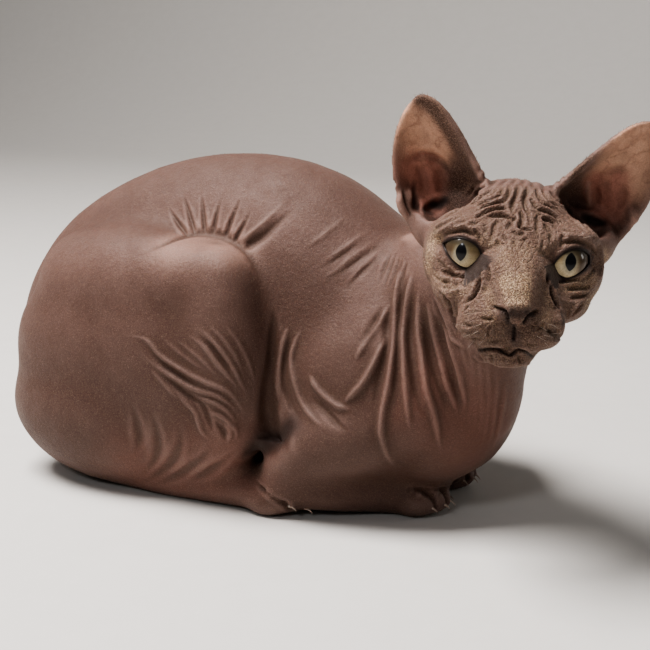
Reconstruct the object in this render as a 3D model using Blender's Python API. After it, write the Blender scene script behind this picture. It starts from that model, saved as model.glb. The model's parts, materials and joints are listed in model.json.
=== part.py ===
"""Sphynx cat, life size, crouched on its folded legs with the head turned to its right side.

Metres, +Z up. +X points from the rump to the chest, +Y to the cat's left, and the floor is Z = 0.
The flesh is fused from muscle-like forms, its details are pressed into the surface, and thin cuts
part it into head, ears, neck, trunk, legs and tail. The eyeballs sit in sockets of their own.
"""

import math

import bmesh
import bpy
import numpy as np
from mathutils import Matrix, Vector

CM = 0.01
MM = 0.001

# Driving dimensions of the animal, in metres
HEAD_WIDTH = 0.083
EYE_SPACING = 0.0434
EYEBALL_RADIUS = 0.0108
LID_THICKNESS = 0.0014
EAR_LENGTH = 0.063
EAR_HALF_WIDTH = 0.0225
EAR_WALL = 0.0027

# The gap between neighbouring nodes
GAP = 0.3 * MM

# Where the head is: the point between the eyes, and the way the face turns, leans and rolls
EYES_MIDDLE = Vector((16.35, -7.6, 15.0)) * CM
HEAD_TURN = math.radians(-69.6)
HEAD_PITCH = math.radians(-1.0)
HEAD_ROLL = math.radians(-5.8)
HEAD = (
    Matrix.Translation(EYES_MIDDLE)
    @ Matrix.Rotation(HEAD_TURN, 4, "Z")
    @ Matrix.Rotation(HEAD_PITCH, 4, "Y")
    @ Matrix.Rotation(HEAD_ROLL, 4, "X")
)

# Voxel sizes, rounds of smoothing and triangle budgets of the two fused forms
BODY_VOXEL = 2.5 * MM
BODY_SMOOTHING = 20
BODY_TRIANGLES = 3200
SKULL_VOXEL = 1.2 * MM
SKULL_SMOOTHING = 34
HEAD_VOXEL = 0.8 * MM
HEAD_SMOOTHING = 4
HEAD_TRIANGLES = 4900

SKIN_BROWN = (0.16, 0.095, 0.08)
EAR_BROWN = (0.2, 0.115, 0.095)
IRIS_GREEN = (0.42, 0.42, 0.2)


def clear_scene():
    for item in list(bpy.data.objects):
        bpy.data.objects.remove(item)


def material(name, colour, roughness):
    """A plain finish with one colour, not metallic."""
    finish = bpy.data.materials.new(name)
    finish.use_nodes = True
    shader = finish.node_tree.nodes["Principled BSDF"]
    shader.inputs["Base Color"].default_value = (*colour, 1.0)
    shader.inputs["Roughness"].default_value = roughness
    shader.inputs["Metallic"].default_value = 0.0
    return finish


def add_object(name, mesh, finish=None):
    made = bpy.data.objects.new(name, mesh)
    bpy.context.scene.collection.objects.link(made)
    if finish:
        mesh.materials.clear()
        mesh.materials.append(finish)
    return made


def mesh_from(builder):
    mesh = bpy.data.meshes.new("form")
    bmesh.ops.recalc_face_normals(builder, faces=builder.faces)
    builder.to_mesh(mesh)
    builder.free()
    return mesh


def baked(item):
    """The object's mesh with its modifiers applied. The object goes."""
    graph = bpy.context.evaluated_depsgraph_get()
    mesh = bpy.data.meshes.new_from_object(item.evaluated_get(graph))
    bpy.data.objects.remove(item)
    return mesh


def smooth_stations(stations, steps):
    """Stations (x, y, z, half width, half height) with more between them, on a Catmull-Rom curve."""
    points = [np.array(station, float) for station in stations]
    padded = [2 * points[0] - points[1], *points, 2 * points[-1] - points[-2]]
    dense = []
    for before, start, end, after in zip(padded, padded[1:], padded[2:], padded[3:]):
        for step in range(steps):
            t = step / steps
            dense.append(
                0.5
                * (
                    2 * start
                    + (end - before) * t
                    + (2 * before - 5 * start + 4 * end - after) * t**2
                    + (3 * start - before - 3 * end + after) * t**3
                )
            )
    return [*dense, points[-1]]


def limb(builder, stations, sides=16, steps=3, dome=0.7, level=False):
    """A tube of oval rings through the stations, in centimetres, with a dome on each end.

    A station's half width lies along Y, or level where the limb runs along Y itself.
    """
    dense = smooth_stations(stations, steps)
    rings = []
    for index, station in enumerate(dense):
        ahead = dense[min(index + 1, len(dense) - 1)][:3]
        behind = dense[max(index - 1, 0)][:3]
        rings.append((station[:3], ahead - behind, station[3], station[4]))
    for end, outwards in ((0, -1), (-1, 1)):
        point, tangent, width, height = rings[end]
        reach = dome * min(width, height) * tangent / np.linalg.norm(tangent)
        caps = [
            (point + outwards * reach * math.sin(angle), tangent, width * math.cos(angle), height * math.cos(angle))
            for angle in (math.radians(35), math.radians(62), math.radians(82))
        ]
        rings = [*reversed(caps), *rings] if outwards < 0 else [*rings, *caps]
    previous = None
    for point, tangent, width, height in rings:
        along = Vector(tangent).normalized()
        if level:
            side = along.cross(Vector((0, 0, 1))).normalized()
            raised = side.cross(along)
        else:
            raised = along.cross(Vector((0, 1, 0))).normalized()
            side = raised.cross(along)
        frame = Matrix((side * width * CM, raised * height * CM, along)).transposed().to_4x4()
        frame.translation = Vector(point) * CM
        circle = bmesh.ops.create_circle(builder, segments=sides, radius=1, matrix=frame)["verts"]
        edges = list({edge for vertex in circle for edge in vertex.link_edges})
        if previous:
            bmesh.ops.bridge_loops(builder, edges=previous + edges)
        else:
            builder.faces.new(circle)
        previous = edges
    builder.faces.new(circle)


def oval(builder, centre, radii, turn=None):
    """An ellipsoid, in centimetres, that may be turned about its own centre."""
    frame = Matrix.Translation(Vector(centre) * CM) @ (turn or Matrix.Identity(4))
    frame = frame @ Matrix.Diagonal((*(Vector(radii) * CM), 1))
    bmesh.ops.create_uvsphere(builder, u_segments=24, v_segments=16, radius=1, matrix=frame)


def fused(builder, voxel, rounds):
    """One closed skin round all the forms of a builder, smoothed."""
    item = add_object("fused", mesh_from(builder))
    remesh = item.modifiers.new("Fuse", "REMESH")
    remesh.mode = "VOXEL"
    remesh.voxel_size = voxel
    smooth = item.modifiers.new("Soften", "SMOOTH")
    smooth.factor = 0.5
    smooth.iterations = rounds
    return baked(item)


def thinned(mesh, triangles):
    """The mesh with about that many triangles."""
    mesh.calc_loop_triangles()
    item = add_object("thinned", mesh)
    decimate = item.modifiers.new("Thin", "DECIMATE")
    decimate.ratio = min(1.0, triangles / len(mesh.loop_triangles))
    triangulate = item.modifiers.new("Triangles", "TRIANGULATE")
    triangulate.min_vertices = 4
    return baked(item)


def largest_body(mesh):
    """Keeps only the largest closed surface of a mesh."""
    builder = bmesh.new()
    builder.from_mesh(mesh)
    left = set(builder.faces)
    islands = []
    while left:
        island, edge_of = set(), [left.pop()]
        while edge_of:
            face = edge_of.pop()
            island.add(face)
            for edge in face.edges:
                for other in edge.link_faces:
                    if other in left:
                        left.discard(other)
                        edge_of.append(other)
        islands.append(island)
    islands.sort(key=lambda island: sum(face.calc_area() for face in island), reverse=True)
    for island in islands[1:]:
        bmesh.ops.delete(builder, geom=list(island), context="FACES")
    builder.to_mesh(mesh)
    builder.free()
    return mesh


def boolean(mesh, other, operation):
    """The mesh joined with, cut by or limited to another closed mesh."""
    item = add_object("work", mesh)
    tool = add_object("tool", other)
    step = item.modifiers.new("Step", "BOOLEAN")
    step.operation = operation
    step.solver = "EXACT"
    step.object = tool
    result = baked(item)
    bpy.data.objects.remove(tool)
    return largest_body(result)


def trunk_forms(builder):
    """The arched trunk from the rump to the breast, its belly down on the floor."""
    sections = [
        # x, back, belly, half width
        (-14.6, 7.6, 2.0, 2.6),
        (-13.4, 9.9, 0.6, 3.9),
        (-11.2, 12.7, -0.3, 4.8),
        (-7.8, 15.7, -0.5, 5.4),
        (-3.4, 17.7, -0.5, 5.5),
        (0.9, 17.9, -0.5, 5.5),
        (4.3, 16.0, -0.5, 5.5),
        (8.0, 13.6, -0.3, 5.3),
        (11.2, 11.3, 0.4, 4.7),
        (12.7, 9.2, 1.8, 3.6),
    ]
    limb(
        builder,
        [(x, 0, (back + belly) / 2, width, (back - belly) / 2) for x, back, belly, width in sections],
        sides=28,
        dome=0.45,
    )
    oval(builder, (10.3, -1.3, 6.0), (3.9, 4.2, 4.5))
    oval(builder, (3.5, 0, 6.4), (7.5, 6.2, 4.6))


def neck_forms(builder):
    """The neck rises from between the shoulders and turns to the cat's right."""
    limb(
        builder,
        [
            (7.4, -0.2, 9.2, 4.3, 4.6),
            (10.4, -0.9, 10.6, 3.9, 4.4),
            (12.9, -1.9, 12.4, 3.4, 3.8),
            (14.7, -3.1, 14.0, 3.0, 3.3),
        ],
        sides=20,
    )
    limb(builder, [(12.2, -1.4, 6.0, 2.7, 2.7), (13.3, -2.6, 9.0, 2.5, 2.3), (14.8, -4.4, 11.8, 2.3, 1.9)])


def hind_leg_forms(builder, side):
    """A folded hind leg: the haunch, the thigh up to the knee, the shank down to the hock and the foot."""
    y = side
    oval(builder, (-6.0, y * 4.5, 7.2), (7.5, 3.5, 5.7))
    oval(builder, (-6.9, y * 4.6, 4.2), (6.9, 3.6, 4.3))
    oval(builder, (-2.4, y * 5.0, 6.2), (5.0, 3.2, 5.2))
    oval(builder, (-3.6, y * 5.0, 7.6), (5.9, 3.2, 6.1))
    limb(
        builder,
        [(-9.4, y * 3.6, 10.2, 3.2, 3.6), (-5.2, y * 4.8, 11.2, 2.9, 3.3), (-0.9, y * 5.8, 12.0, 2.0, 2.1)],
    )
    oval(builder, (0.1, y * 6.0, 12.1), (1.9, 1.6, 2.0))
    limb(
        builder,
        [
            (0.1, y * 6.0, 11.6, 1.8, 2.2),
            (0.5, y * 6.1, 9.0, 1.9, 2.3),
            (0.8, y * 6.0, 6.0, 2.0, 2.3),
            (0.0, y * 5.8, 3.8, 1.9, 2.0),
            (-3.2, y * 5.4, 2.4, 1.6, 1.5),
        ],
    )
    limb(
        builder,
        [
            (-7.2, y * 5.4, 1.5, 1.0, 1.5),
            (-4.0, y * 5.5, 1.25, 1.2, 1.4),
            (-0.4, y * 5.4, 1.15, 1.3, 1.25),
            (2.0, y * 5.1, 1.1, 1.6, 1.2),
        ],
    )
    for reach, across in ((2.9, 6.35), (3.5, 5.55), (3.5, 4.7), (2.9, 3.9)):
        oval(builder, (reach, y * across, 0.72), (1.25, 0.52, 0.8))


def fore_leg_forms(builder, side):
    """A folded foreleg: shoulder blade, upper arm back to the elbow, forearm along the floor and paw."""
    y = side
    oval(builder, (7.4, y * 3.6, 6.8), (4.8, 2.9, 4.6))
    limb(
        builder,
        [(5.6, y * 2.9, 11.4, 1.4, 2.0), (8.8, y * 4.1, 9.2, 1.6, 2.3), (10.9, y * 4.4, 6.8, 1.7, 1.9)],
    )
    limb(
        builder,
        [(10.6, y * 4.4, 6.4, 1.8, 2.1), (7.4, y * 5.1, 4.9, 2.0, 2.3), (3.9, y * 5.8, 3.4, 1.6, 1.8)],
    )
    limb(
        builder,
        [(3.4, y * 5.7, 2.2, 1.4, 1.6), (6.0, y * 4.5, 1.7, 1.35, 1.6), (8.2, y * 3.1, 1.3, 1.2, 1.35)],
    )
    limb(builder, [(7.8, y * 3.2, 1.2, 1.25, 1.3), (9.3, y * 2.3, 1.1, 1.5, 1.2)])
    for reach, across in ((9.9, 3.35), (10.5, 2.6), (10.6, 1.8), (10.1, 1.05)):
        oval(builder, (reach, y * across, 0.72), (1.15, 0.48, 0.8))


def head_forms(builder):
    """The skull, muzzle and cheeks, in centimetres from the point between the eyes, +X to the nose."""
    half = HEAD_WIDTH / CM / 2
    oval(builder, (-3.3, 0, 0.3), (3.4, 3.3, 2.8))
    limb(
        builder,
        [
            (-3.0, 0, 1.8, 2.4, 1.0),
            (-0.9, 0, 0.75, 2.3, 1.1),
            (0.3, 0, -0.2, 1.75, 1.05),
            (1.5, 0, -0.88, 1.2, 0.88),
            (2.3, 0, -1.5, 0.95, 0.66),
        ],
        sides=20,
    )
    oval(builder, (2.55, 0, -1.85), (0.68, 0.88, 0.52))
    limb(builder, [(-0.6, 0, -1.3, 3.0, 1.6), (0.6, 0, -1.8, 2.4, 1.4), (1.7, 0, -2.3, 1.8, 1.15)])
    oval(builder, (1.75, 0, -3.0), (0.95, 1.5, 0.8))
    oval(builder, (1.25, 0, -3.95), (1.3, 1.35, 0.72))
    limb(builder, [(1.0, 0, -3.2, 1.7, 0.95), (-1.0, 0, -2.7, 2.5, 1.3), (-3.2, 0, -2.2, 2.9, 1.6)])
    for y in (-1, 1):
        oval(builder, (-2.4, y * 2.6, 0.1), (1.9, 1.5, 1.3))
        oval(builder, (-0.85, y * 2.1, 0.95), (1.0, 1.7, 0.62))
        oval(builder, (-1.5, y * 2.3, -0.1), (1.6, 1.75, 1.9))
        oval(builder, (-1.9, y * (half - 1.4), -0.6), (2.0, 1.4, 1.7))
        oval(builder, (-0.6, y * 2.1, -1.7), (1.7, 1.5, 1.1))
        oval(builder, (0.2, y * 1.2, -1.1), (1.3, 1.0, 1.0))
        oval(builder, (1.45, y * 1.15, -2.75), (1.35, 1.25, 0.98))
        oval(builder, (-4.0, y * 2.95, 0.5), (1.9, 1.9, 1.5))


def eye_centre(y):
    """The eyeball's centre in the head's frame, in metres."""
    return Vector((-0.0075, y * EYE_SPACING / 2, 0))


def ear_frame(y, base, tip, facing):
    """The frame of one ear in the head's frame: Z up its length, X out of its opening, Y outwards."""
    length = Vector(tip) - Vector(base)
    along = length.normalized()
    opening = Vector(facing)
    opening = (opening - opening.dot(along) * along).normalized()
    frame = Matrix((opening, along.cross(opening), along)).transposed().to_4x4()
    frame.translation = Vector(base) * CM
    return frame


EARS = {
    "right": ear_frame(-1, (-2.9, -2.75, 0.8), (-3.6, -5.2, 6.6), (1.0, -0.25, 0)),
    "left": ear_frame(1, (-2.9, 2.55, 1.0), (-3.2, 6.1, 7.2), (1.0, 0.35, 0)),
}


def ear_form(builder, frame, y):
    """The cup of an ear: a sheet curled round its length, open at the front, with a wall."""
    rows, columns = 22, 20
    grid = bmesh.ops.create_grid(builder, x_segments=rows, y_segments=columns, size=1)["verts"]
    for vertex in grid:
        up = min((vertex.co.x + 1) / 2, 0.995)
        across = vertex.co.y
        half_width = EAR_HALF_WIDTH * (1 - up**2.6) ** 0.62
        curl = math.radians(98 - 70 * up)
        radius = half_width / math.sin(min(curl, math.pi / 2))
        angle = across * curl
        bow = 0.16 * EAR_HALF_WIDTH * math.sin(math.pi * up)
        vertex.co = Vector(
            (
                radius * (math.cos(curl) - math.cos(angle)),
                radius * math.sin(angle) + y * bow,
                up * EAR_LENGTH,
            )
        )
    faces = list({face for vertex in grid for face in vertex.link_faces})
    builder.normal_update()
    shell = bmesh.ops.solidify(builder, geom=faces + grid, thickness=EAR_WALL)["geom"]
    whole = {item for item in shell if isinstance(item, bmesh.types.BMVert)} | set(grid)
    bmesh.ops.transform(builder, matrix=frame, verts=list(whole))


def coordinates(mesh):
    points = np.empty(len(mesh.vertices) * 3)
    mesh.vertices.foreach_get("co", points)
    return points.reshape(-1, 3)


def set_coordinates(mesh, points):
    mesh.vertices.foreach_set("co", points.astype(np.float32).ravel())
    mesh.update()


def normals(mesh):
    found = np.empty(len(mesh.vertices) * 3)
    mesh.vertex_normals.foreach_get("vector", found)
    return found.reshape(-1, 3)


def distance_to_path(points, path):
    """How far each point is from a line of short straight runs."""
    nearest = np.full(len(points), np.inf)
    for start, end in zip(path, path[1:]):
        start, end = np.array(start), np.array(end)
        along = end - start
        share = np.clip((points - start) @ along / (along @ along), 0, 1)
        nearest = np.minimum(nearest, np.linalg.norm(points - start - share[:, None] * along, axis=1))
    return nearest


def press(mesh, path, width, depth):
    """Presses a groove into the face along a path of (y, z) points seen from the front, in metres.

    Width is the groove's half width. A minus depth raises a ridge.
    """
    points, facing = coordinates(mesh), normals(mesh)
    share = distance_to_path(points[:, 1:], path) / width
    front = np.clip((facing[:, 0] - 0.05) / 0.3, 0, 1) * (points[:, 0] > 0)
    amount = depth * np.exp(-(share**2)) * front
    set_coordinates(mesh, points - facing * amount[:, None])


def head_lines(mesh):
    """The line of the mouth, the groove under the nose and the nostrils, in the head's frame."""
    mouth = np.array([(-1.8, -3.65), (-1.0, -3.88), (-0.4, -3.76), (0, -3.6)]) * CM
    for y in (-1, 1):
        press(mesh, mouth * (y, 1), 0.0010, 0.0030)
        press(mesh, np.array([(y * 0.3, -2.12), (y * 0.62, -1.86)]) * CM, 0.0012, 0.0030)
        press(mesh, np.array([(y * 0.9, -1.6), (y * 0.95, -2.2), (y * 0.4, -2.5)]) * CM, 0.0012, 0.0010)
    press(mesh, np.array([(0, -2.3), (0, -3.6)]) * CM, 0.0009, 0.0022)


def head_flesh():
    """The head and both ears as one fused skin, in the head's frame."""
    builder = bmesh.new()
    head_forms(builder)
    skull = fused(builder, SKULL_VOXEL, SKULL_SMOOTHING)
    builder = bmesh.new()
    builder.from_mesh(skull)
    for y in (-1, 1):
        lid = Matrix.Translation(eye_centre(y))
        bmesh.ops.create_uvsphere(
            builder, u_segments=32, v_segments=24, radius=EYEBALL_RADIUS + LID_THICKNESS, matrix=lid
        )
    limb(builder, [(-4.4, 0, -0.6, 3.0, 2.9), (-6.2, 0, -1.8, 2.9, 3.2), (-8.2, 0.6, -3.6, 3.0, 3.6)], sides=20)
    for y, name in ((-1, "right"), (1, "left")):
        ear_form(builder, EARS[name], y)
    mesh = fused(builder, HEAD_VOXEL, HEAD_SMOOTHING)
    head_lines(mesh)
    for y, name in ((-1, "right"), (1, "left")):
        canal = bmesh.new()
        bowl = EARS[name] @ Matrix.Translation((-0.001, 0, 0.013)) @ Matrix.Diagonal((0.0125, 0.016, 0.016, 1))
        bmesh.ops.create_uvsphere(canal, u_segments=20, v_segments=14, radius=1, matrix=bowl)
        mesh = boolean(mesh, mesh_from(canal), "DIFFERENCE")
    return mesh


def almond(y):
    """A cutter with the outline of the open lids, pointing out of the face."""
    builder = bmesh.new()
    half_length, upper, lower = 0.0098, 0.0062, 0.0068
    outline = []
    steps = 9
    for step in range(steps):
        share = -1 + 2 * step / steps
        outline.append((share * half_length, lower * -((1 - share**2) ** 0.85)))
    for step in range(steps):
        share = 1 - 2 * step / steps
        outline.append((share * half_length, upper * (1 - share**2) ** 0.85))
    corners = [builder.verts.new((0, y * across, height)) for across, height in outline]
    face = builder.faces.new(corners)
    made = bmesh.ops.extrude_face_region(builder, geom=[face])["geom"]
    bmesh.ops.translate(
        builder, vec=(0.04, 0, 0), verts=[item for item in made if isinstance(item, bmesh.types.BMVert)]
    )
    tilt = Matrix.Translation(eye_centre(y)) @ Matrix.Rotation(y * math.radians(14), 4, "Z")
    tilt = tilt @ Matrix.Rotation(y * math.radians(13), 4, "X")
    bmesh.ops.transform(builder, matrix=tilt, verts=builder.verts)
    return mesh_from(builder)


def ball(centre, radius, segments=20):
    builder = bmesh.new()
    bmesh.ops.create_uvsphere(
        builder, u_segments=segments, v_segments=segments // 2, radius=radius, matrix=Matrix.Translation(centre)
    )
    return mesh_from(builder)


def slab(frame, size, offset):
    """A box whose lower face lies on the frame's XY plane, raised by an offset: a cell for what is above it."""
    builder = bmesh.new()
    reach, depth, height = size
    box = frame @ Matrix.Translation((0, 0, offset + height / 2)) @ Matrix.Diagonal((reach, depth, height, 1))
    bmesh.ops.create_cube(builder, size=1, matrix=box)
    return mesh_from(builder)


def egg(centre, radii, offset):
    """An ellipsoid cell, in centimetres, grown by an offset in metres."""
    builder = bmesh.new()
    grown = Vector(radii) * CM + Vector((offset, offset, offset))
    frame = Matrix.Translation(Vector(centre) * CM) @ Matrix.Diagonal((*grown, 1))
    bmesh.ops.create_uvsphere(builder, u_segments=12, v_segments=8, radius=1, matrix=frame)
    return mesh_from(builder)


def plane_frame(point, direction):
    """A frame at a point, in centimetres, whose Z points in a direction."""
    frame = Vector(direction).to_track_quat("Z", "Y").to_matrix().to_4x4()
    frame.translation = Vector(point) * CM
    return frame


def part_off(rest, cell):
    """(what is inside the cell, what is left outside), with the gap between them. cell is a function of its growth."""
    inside = boolean(rest.copy(), cell(-GAP / 2), "INTERSECT")
    outside = boolean(rest, cell(GAP / 2), "DIFFERENCE")
    return inside, outside


def body_flesh():
    """The trunk, neck, legs and the root of the tail as one fused skin."""
    builder = bmesh.new()
    trunk_forms(builder)
    neck_forms(builder)
    for side in (-1, 1):
        hind_leg_forms(builder, side)
        fore_leg_forms(builder, side)
    limb(builder, [(-12.4, 0, 6.6, 1.9, 1.9), *TAIL[:2]], sides=12, level=True)
    mesh = fused(builder, BODY_VOXEL, BODY_SMOOTHING)
    return thinned(mesh, BODY_TRIANGLES)


def floor_cut(mesh):
    """Flattens what reaches the floor: everything under Z = 0 goes."""
    builder = bmesh.new()
    below = Matrix.Translation((0, 0, -0.05)) @ Matrix.Diagonal((1, 1, 0.1, 1))
    bmesh.ops.create_cube(builder, size=1, matrix=below)
    return boolean(mesh, mesh_from(builder), "DIFFERENCE")


# The tail leaves the rump, lies down and curls round the far haunch: x, y, z and two radii in centimetres
TAIL = [
    (-14.3, 0.6, 5.2, 1.45, 1.45),
    (-16.6, 1.6, 3.2, 1.2, 1.2),
    (-17.8, 4.4, 1.3, 0.98, 0.98),
    (-16.4, 8.0, 0.8, 0.85, 0.85),
    (-12.6, 10.3, 0.7, 0.75, 0.75),
    (-7.4, 11.0, 0.6, 0.65, 0.65),
    (-2.0, 10.9, 0.5, 0.55, 0.55),
    (3.0, 10.2, 0.38, 0.42, 0.42),
]

# Where the tail leaves the rump, and where it is parted further down
TAIL_ROOT = plane_frame((-15.5, 1.15, 4.15), (-0.72, 0.31, -0.62))
TAIL_CUTS = [("tail_tip", (-6.0, 11.0, 0.6), (1, 0, 0)), ("tail_middle", (-17.1, 6.2, 1.0), (0.35, 0.93, 0))]


def tail_nodes():
    """The tail beyond its root, in three nodes."""
    builder = bmesh.new()
    limb(builder, TAIL, sides=10, steps=3, level=True)
    rest = floor_cut(mesh_from(builder))
    stump = slab(TAIL_ROOT @ Matrix.Rotation(math.pi, 4, "X"), (0.05, 0.05, 0.05), -GAP / 2)
    rest = boolean(rest, stump, "DIFFERENCE")
    nodes = {}
    for name, point, direction in TAIL_CUTS:
        frame = plane_frame(point, direction)
        nodes[name], rest = part_off(rest, lambda grow: slab(frame, (0.3, 0.3, 0.3), -grow))
    nodes["tail_base"] = rest
    return nodes


def body_nodes(nape):
    """The body below the nape, parted into its nodes with thin cuts."""
    rest = floor_cut(body_flesh())
    rest = boolean(rest, slab(nape, (0.3, 0.3, 0.3), -GAP / 2), "DIFFERENCE")
    rest = boolean(rest, slab(TAIL_ROOT, (0.05, 0.05, 0.05), -GAP / 2), "DIFFERENCE")
    eggs = [("neck", (14.4, -2.9, 13.6), (5.7, 5.5, 5.7))]
    for name, y in (("right", -1), ("left", 1)):
        eggs += [
            ("thigh_" + name, (-3.6, y * 8.6, 8.8), (7.2, 5.4, 6.6)),
            ("hind_foot_" + name, (-1.6, y * 5.3, 0.2), (6.6, 2.4, 2.2)),
            ("shank_" + name, (-2.2, y * 7.0, 3.2), (5.6, 2.8, 3.4)),
            ("upper_arm_" + name, (8.0, y * 6.9, 7.8), (4.5, 3.7, 4.4)),
            ("forepaw_" + name, (9.7, y * 2.3, 0.6), (2.5, 2.1, 2.0)),
            ("forearm_" + name, (5.6, y * 5.6, 2.0), (4.2, 2.6, 2.7)),
        ]
    nodes = {}
    for name, centre, radii in eggs:
        nodes[name], rest = part_off(rest, lambda grow: egg(centre, radii, grow))
    for name, x, direction in (("chest", 4.6, 1), ("rump", -7.0, -1)):
        frame = plane_frame((x, 0, 8), (direction, 0, 0))
        nodes[name], rest = part_off(rest, lambda grow: slab(frame, (0.4, 0.4, 0.3), -grow))
    nodes["loin"] = rest
    return nodes


def head_nodes():
    """The head, ears and eyes, and the frame of the cut at the nape."""
    rest = thinned(head_flesh(), HEAD_TRIANGLES)
    nodes = {}
    for y, name in ((-1, "right"), (1, "left")):
        rest = boolean(rest, almond(y), "DIFFERENCE")
        rest = boolean(rest, ball(eye_centre(y), EYEBALL_RADIUS + GAP), "DIFFERENCE")
        nodes["eye_" + name] = ball(eye_centre(y), EYEBALL_RADIUS)
    for name, frame in EARS.items():
        root = frame @ Matrix.Translation((0, 0, 0.021))
        nodes["ear_" + name], rest = part_off(rest, lambda grow: slab(root, (0.09, 0.075, 0.08), -grow))
    nape = plane_frame((-5.2, 0, -1.2), (1, 0, 0.9))
    nodes["head"] = boolean(rest, slab(nape, (0.3, 0.3, 0.3), GAP / 2), "INTERSECT")
    for mesh in nodes.values():
        mesh.transform(HEAD)
    return nodes, HEAD @ nape


def main():
    clear_scene()
    skin = material("sphynx_skin", SKIN_BROWN, 0.65)
    ear_skin = material("ear_skin", EAR_BROWN, 0.6)
    iris = material("iris", IRIS_GREEN, 0.12)
    nodes, nape = head_nodes()
    nodes |= body_nodes(nape)
    nodes |= tail_nodes()

    points = np.concatenate([coordinates(mesh) for mesh in nodes.values()])
    middle = (points.min(axis=0) + points.max(axis=0)) / 2
    for name, mesh in nodes.items():
        mesh.transform(Matrix.Translation((-middle[0], -middle[1], 0)))
        mesh.shade_smooth()
        mesh.set_sharp_from_angle(angle=math.radians(40))
        add_object(name, mesh, iris if "eye" in name else ear_skin if "ear_" in name else skin)


main()
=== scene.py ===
# %% [markdown]
# # A crouched sphynx cat
# The cat is almost bare, so its look comes from its skin: soft folds on the neck and thighs, fine
# wrinkles on the brow, velvet down on the nose, and two clear eyes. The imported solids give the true
# size and pose. This lesson lays one unbroken skin over them, works the folds into it as a sculptor
# would, and then adds eyes, claws, whiskers and down.

# %% Load the solids as a fixed frame
import json
import math

import bmesh
import bpy
import numpy as np
from mathutils import Matrix, Vector
from mathutils.bvhtree import BVHTree
from mathutils.kdtree import KDTree

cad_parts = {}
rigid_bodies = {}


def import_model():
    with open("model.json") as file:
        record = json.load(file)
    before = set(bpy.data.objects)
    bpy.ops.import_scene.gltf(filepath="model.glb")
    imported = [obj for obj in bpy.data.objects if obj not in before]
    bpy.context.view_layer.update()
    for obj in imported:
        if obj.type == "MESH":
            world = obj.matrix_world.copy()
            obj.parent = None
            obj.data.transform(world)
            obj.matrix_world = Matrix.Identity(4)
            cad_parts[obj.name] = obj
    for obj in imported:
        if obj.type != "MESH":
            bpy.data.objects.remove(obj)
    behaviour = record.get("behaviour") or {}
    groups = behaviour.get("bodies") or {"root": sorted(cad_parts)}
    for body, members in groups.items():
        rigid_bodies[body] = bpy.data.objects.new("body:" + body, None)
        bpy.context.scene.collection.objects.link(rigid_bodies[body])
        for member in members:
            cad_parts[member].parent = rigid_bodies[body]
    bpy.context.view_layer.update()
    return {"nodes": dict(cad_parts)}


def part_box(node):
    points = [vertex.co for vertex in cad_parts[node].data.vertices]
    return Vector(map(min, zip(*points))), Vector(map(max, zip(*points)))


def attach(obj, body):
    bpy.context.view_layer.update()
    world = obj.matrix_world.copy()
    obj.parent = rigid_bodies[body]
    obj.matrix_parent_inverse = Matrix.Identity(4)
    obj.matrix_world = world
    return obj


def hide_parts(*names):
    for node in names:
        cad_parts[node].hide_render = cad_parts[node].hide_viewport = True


for item in list(bpy.data.objects):
    bpy.data.objects.remove(item)
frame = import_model()
MM = 0.001

# %% [markdown]
# The head is turned to the cat's right and leans a little. Every detail of the face is easier to
# place in the head's own frame: origin between the eyes, X to the nose, Y to the cat's left, Z up.
# The two eye nodes say where that origin is, and three angles say how the head is held.

# %% The frame of the head and of the trunk
HEAD_TURN, HEAD_PITCH, HEAD_ROLL = (math.radians(angle) for angle in (-69.6, -1.0, -5.8))
EYE_DEPTH = 7.5 * MM
EYES = {name: sum(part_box("eye_" + name), Vector()) / 2 for name in ("right", "left")}
EYE_RADIUS = max(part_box("eye_right")[1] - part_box("eye_right")[0]) / 2
HEAD_TURNED = Matrix.Rotation(HEAD_TURN, 4, "Z") @ Matrix.Rotation(HEAD_PITCH, 4, "Y") @ Matrix.Rotation(HEAD_ROLL, 4, "X")
HEAD = Matrix.Translation((EYES["right"] + EYES["left"]) / 2 + HEAD_TURNED @ Vector((EYE_DEPTH, 0, 0))) @ HEAD_TURNED
TRUNK_FROM_EYES = Vector((163.5, -76, 150)) * MM
TRUNK = Matrix.Translation(HEAD.translation - TRUNK_FROM_EYES)
print("eye radius", round(EYE_RADIUS / MM, 2), "mm, head at", [round(x, 4) for x in HEAD.translation])

# %% [markdown]
# The camera comes early, because folds that the photograph shows are placed through it: a ray goes
# from the lens through a point of the picture to the skin. That keeps each fold on the surface, seen
# from any side. The lens is a short telephoto, as in a portrait.

# %% Camera
AIM = HEAD.translation + Vector((-135.5, 89, -65)) * MM
CAMERA_AZIMUTH, CAMERA_ELEVATION, CAMERA_DISTANCE = math.radians(25), math.radians(14), 0.75
PICTURE = 650
LENS, SENSOR = 74.8, 36.0
TO_CAMERA = Vector(
    (
        math.sin(CAMERA_AZIMUTH) * math.cos(CAMERA_ELEVATION),
        -math.cos(CAMERA_AZIMUTH) * math.cos(CAMERA_ELEVATION),
        math.sin(CAMERA_ELEVATION),
    )
)
camera = bpy.data.objects.new("portrait_camera", bpy.data.cameras.new("portrait_lens"))
bpy.context.scene.collection.objects.link(camera)
camera.data.lens, camera.data.sensor_width = LENS, SENSOR
camera.rotation_mode = "QUATERNION"
camera.rotation_quaternion = (-TO_CAMERA).to_track_quat("-Z", "Y")
camera.location = AIM + TO_CAMERA * CAMERA_DISTANCE
bpy.context.scene.camera = camera


def picture_ray(x, y):
    """The direction from the lens through a point of the picture."""
    across = (x - PICTURE / 2) / PICTURE * SENSOR / LENS
    up = (PICTURE / 2 - y) / PICTURE * SENSOR / LENS
    return (camera.rotation_quaternion @ Vector((across, up, -1))).normalized()


print("camera at", [round(x, 3) for x in camera.location])

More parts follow.
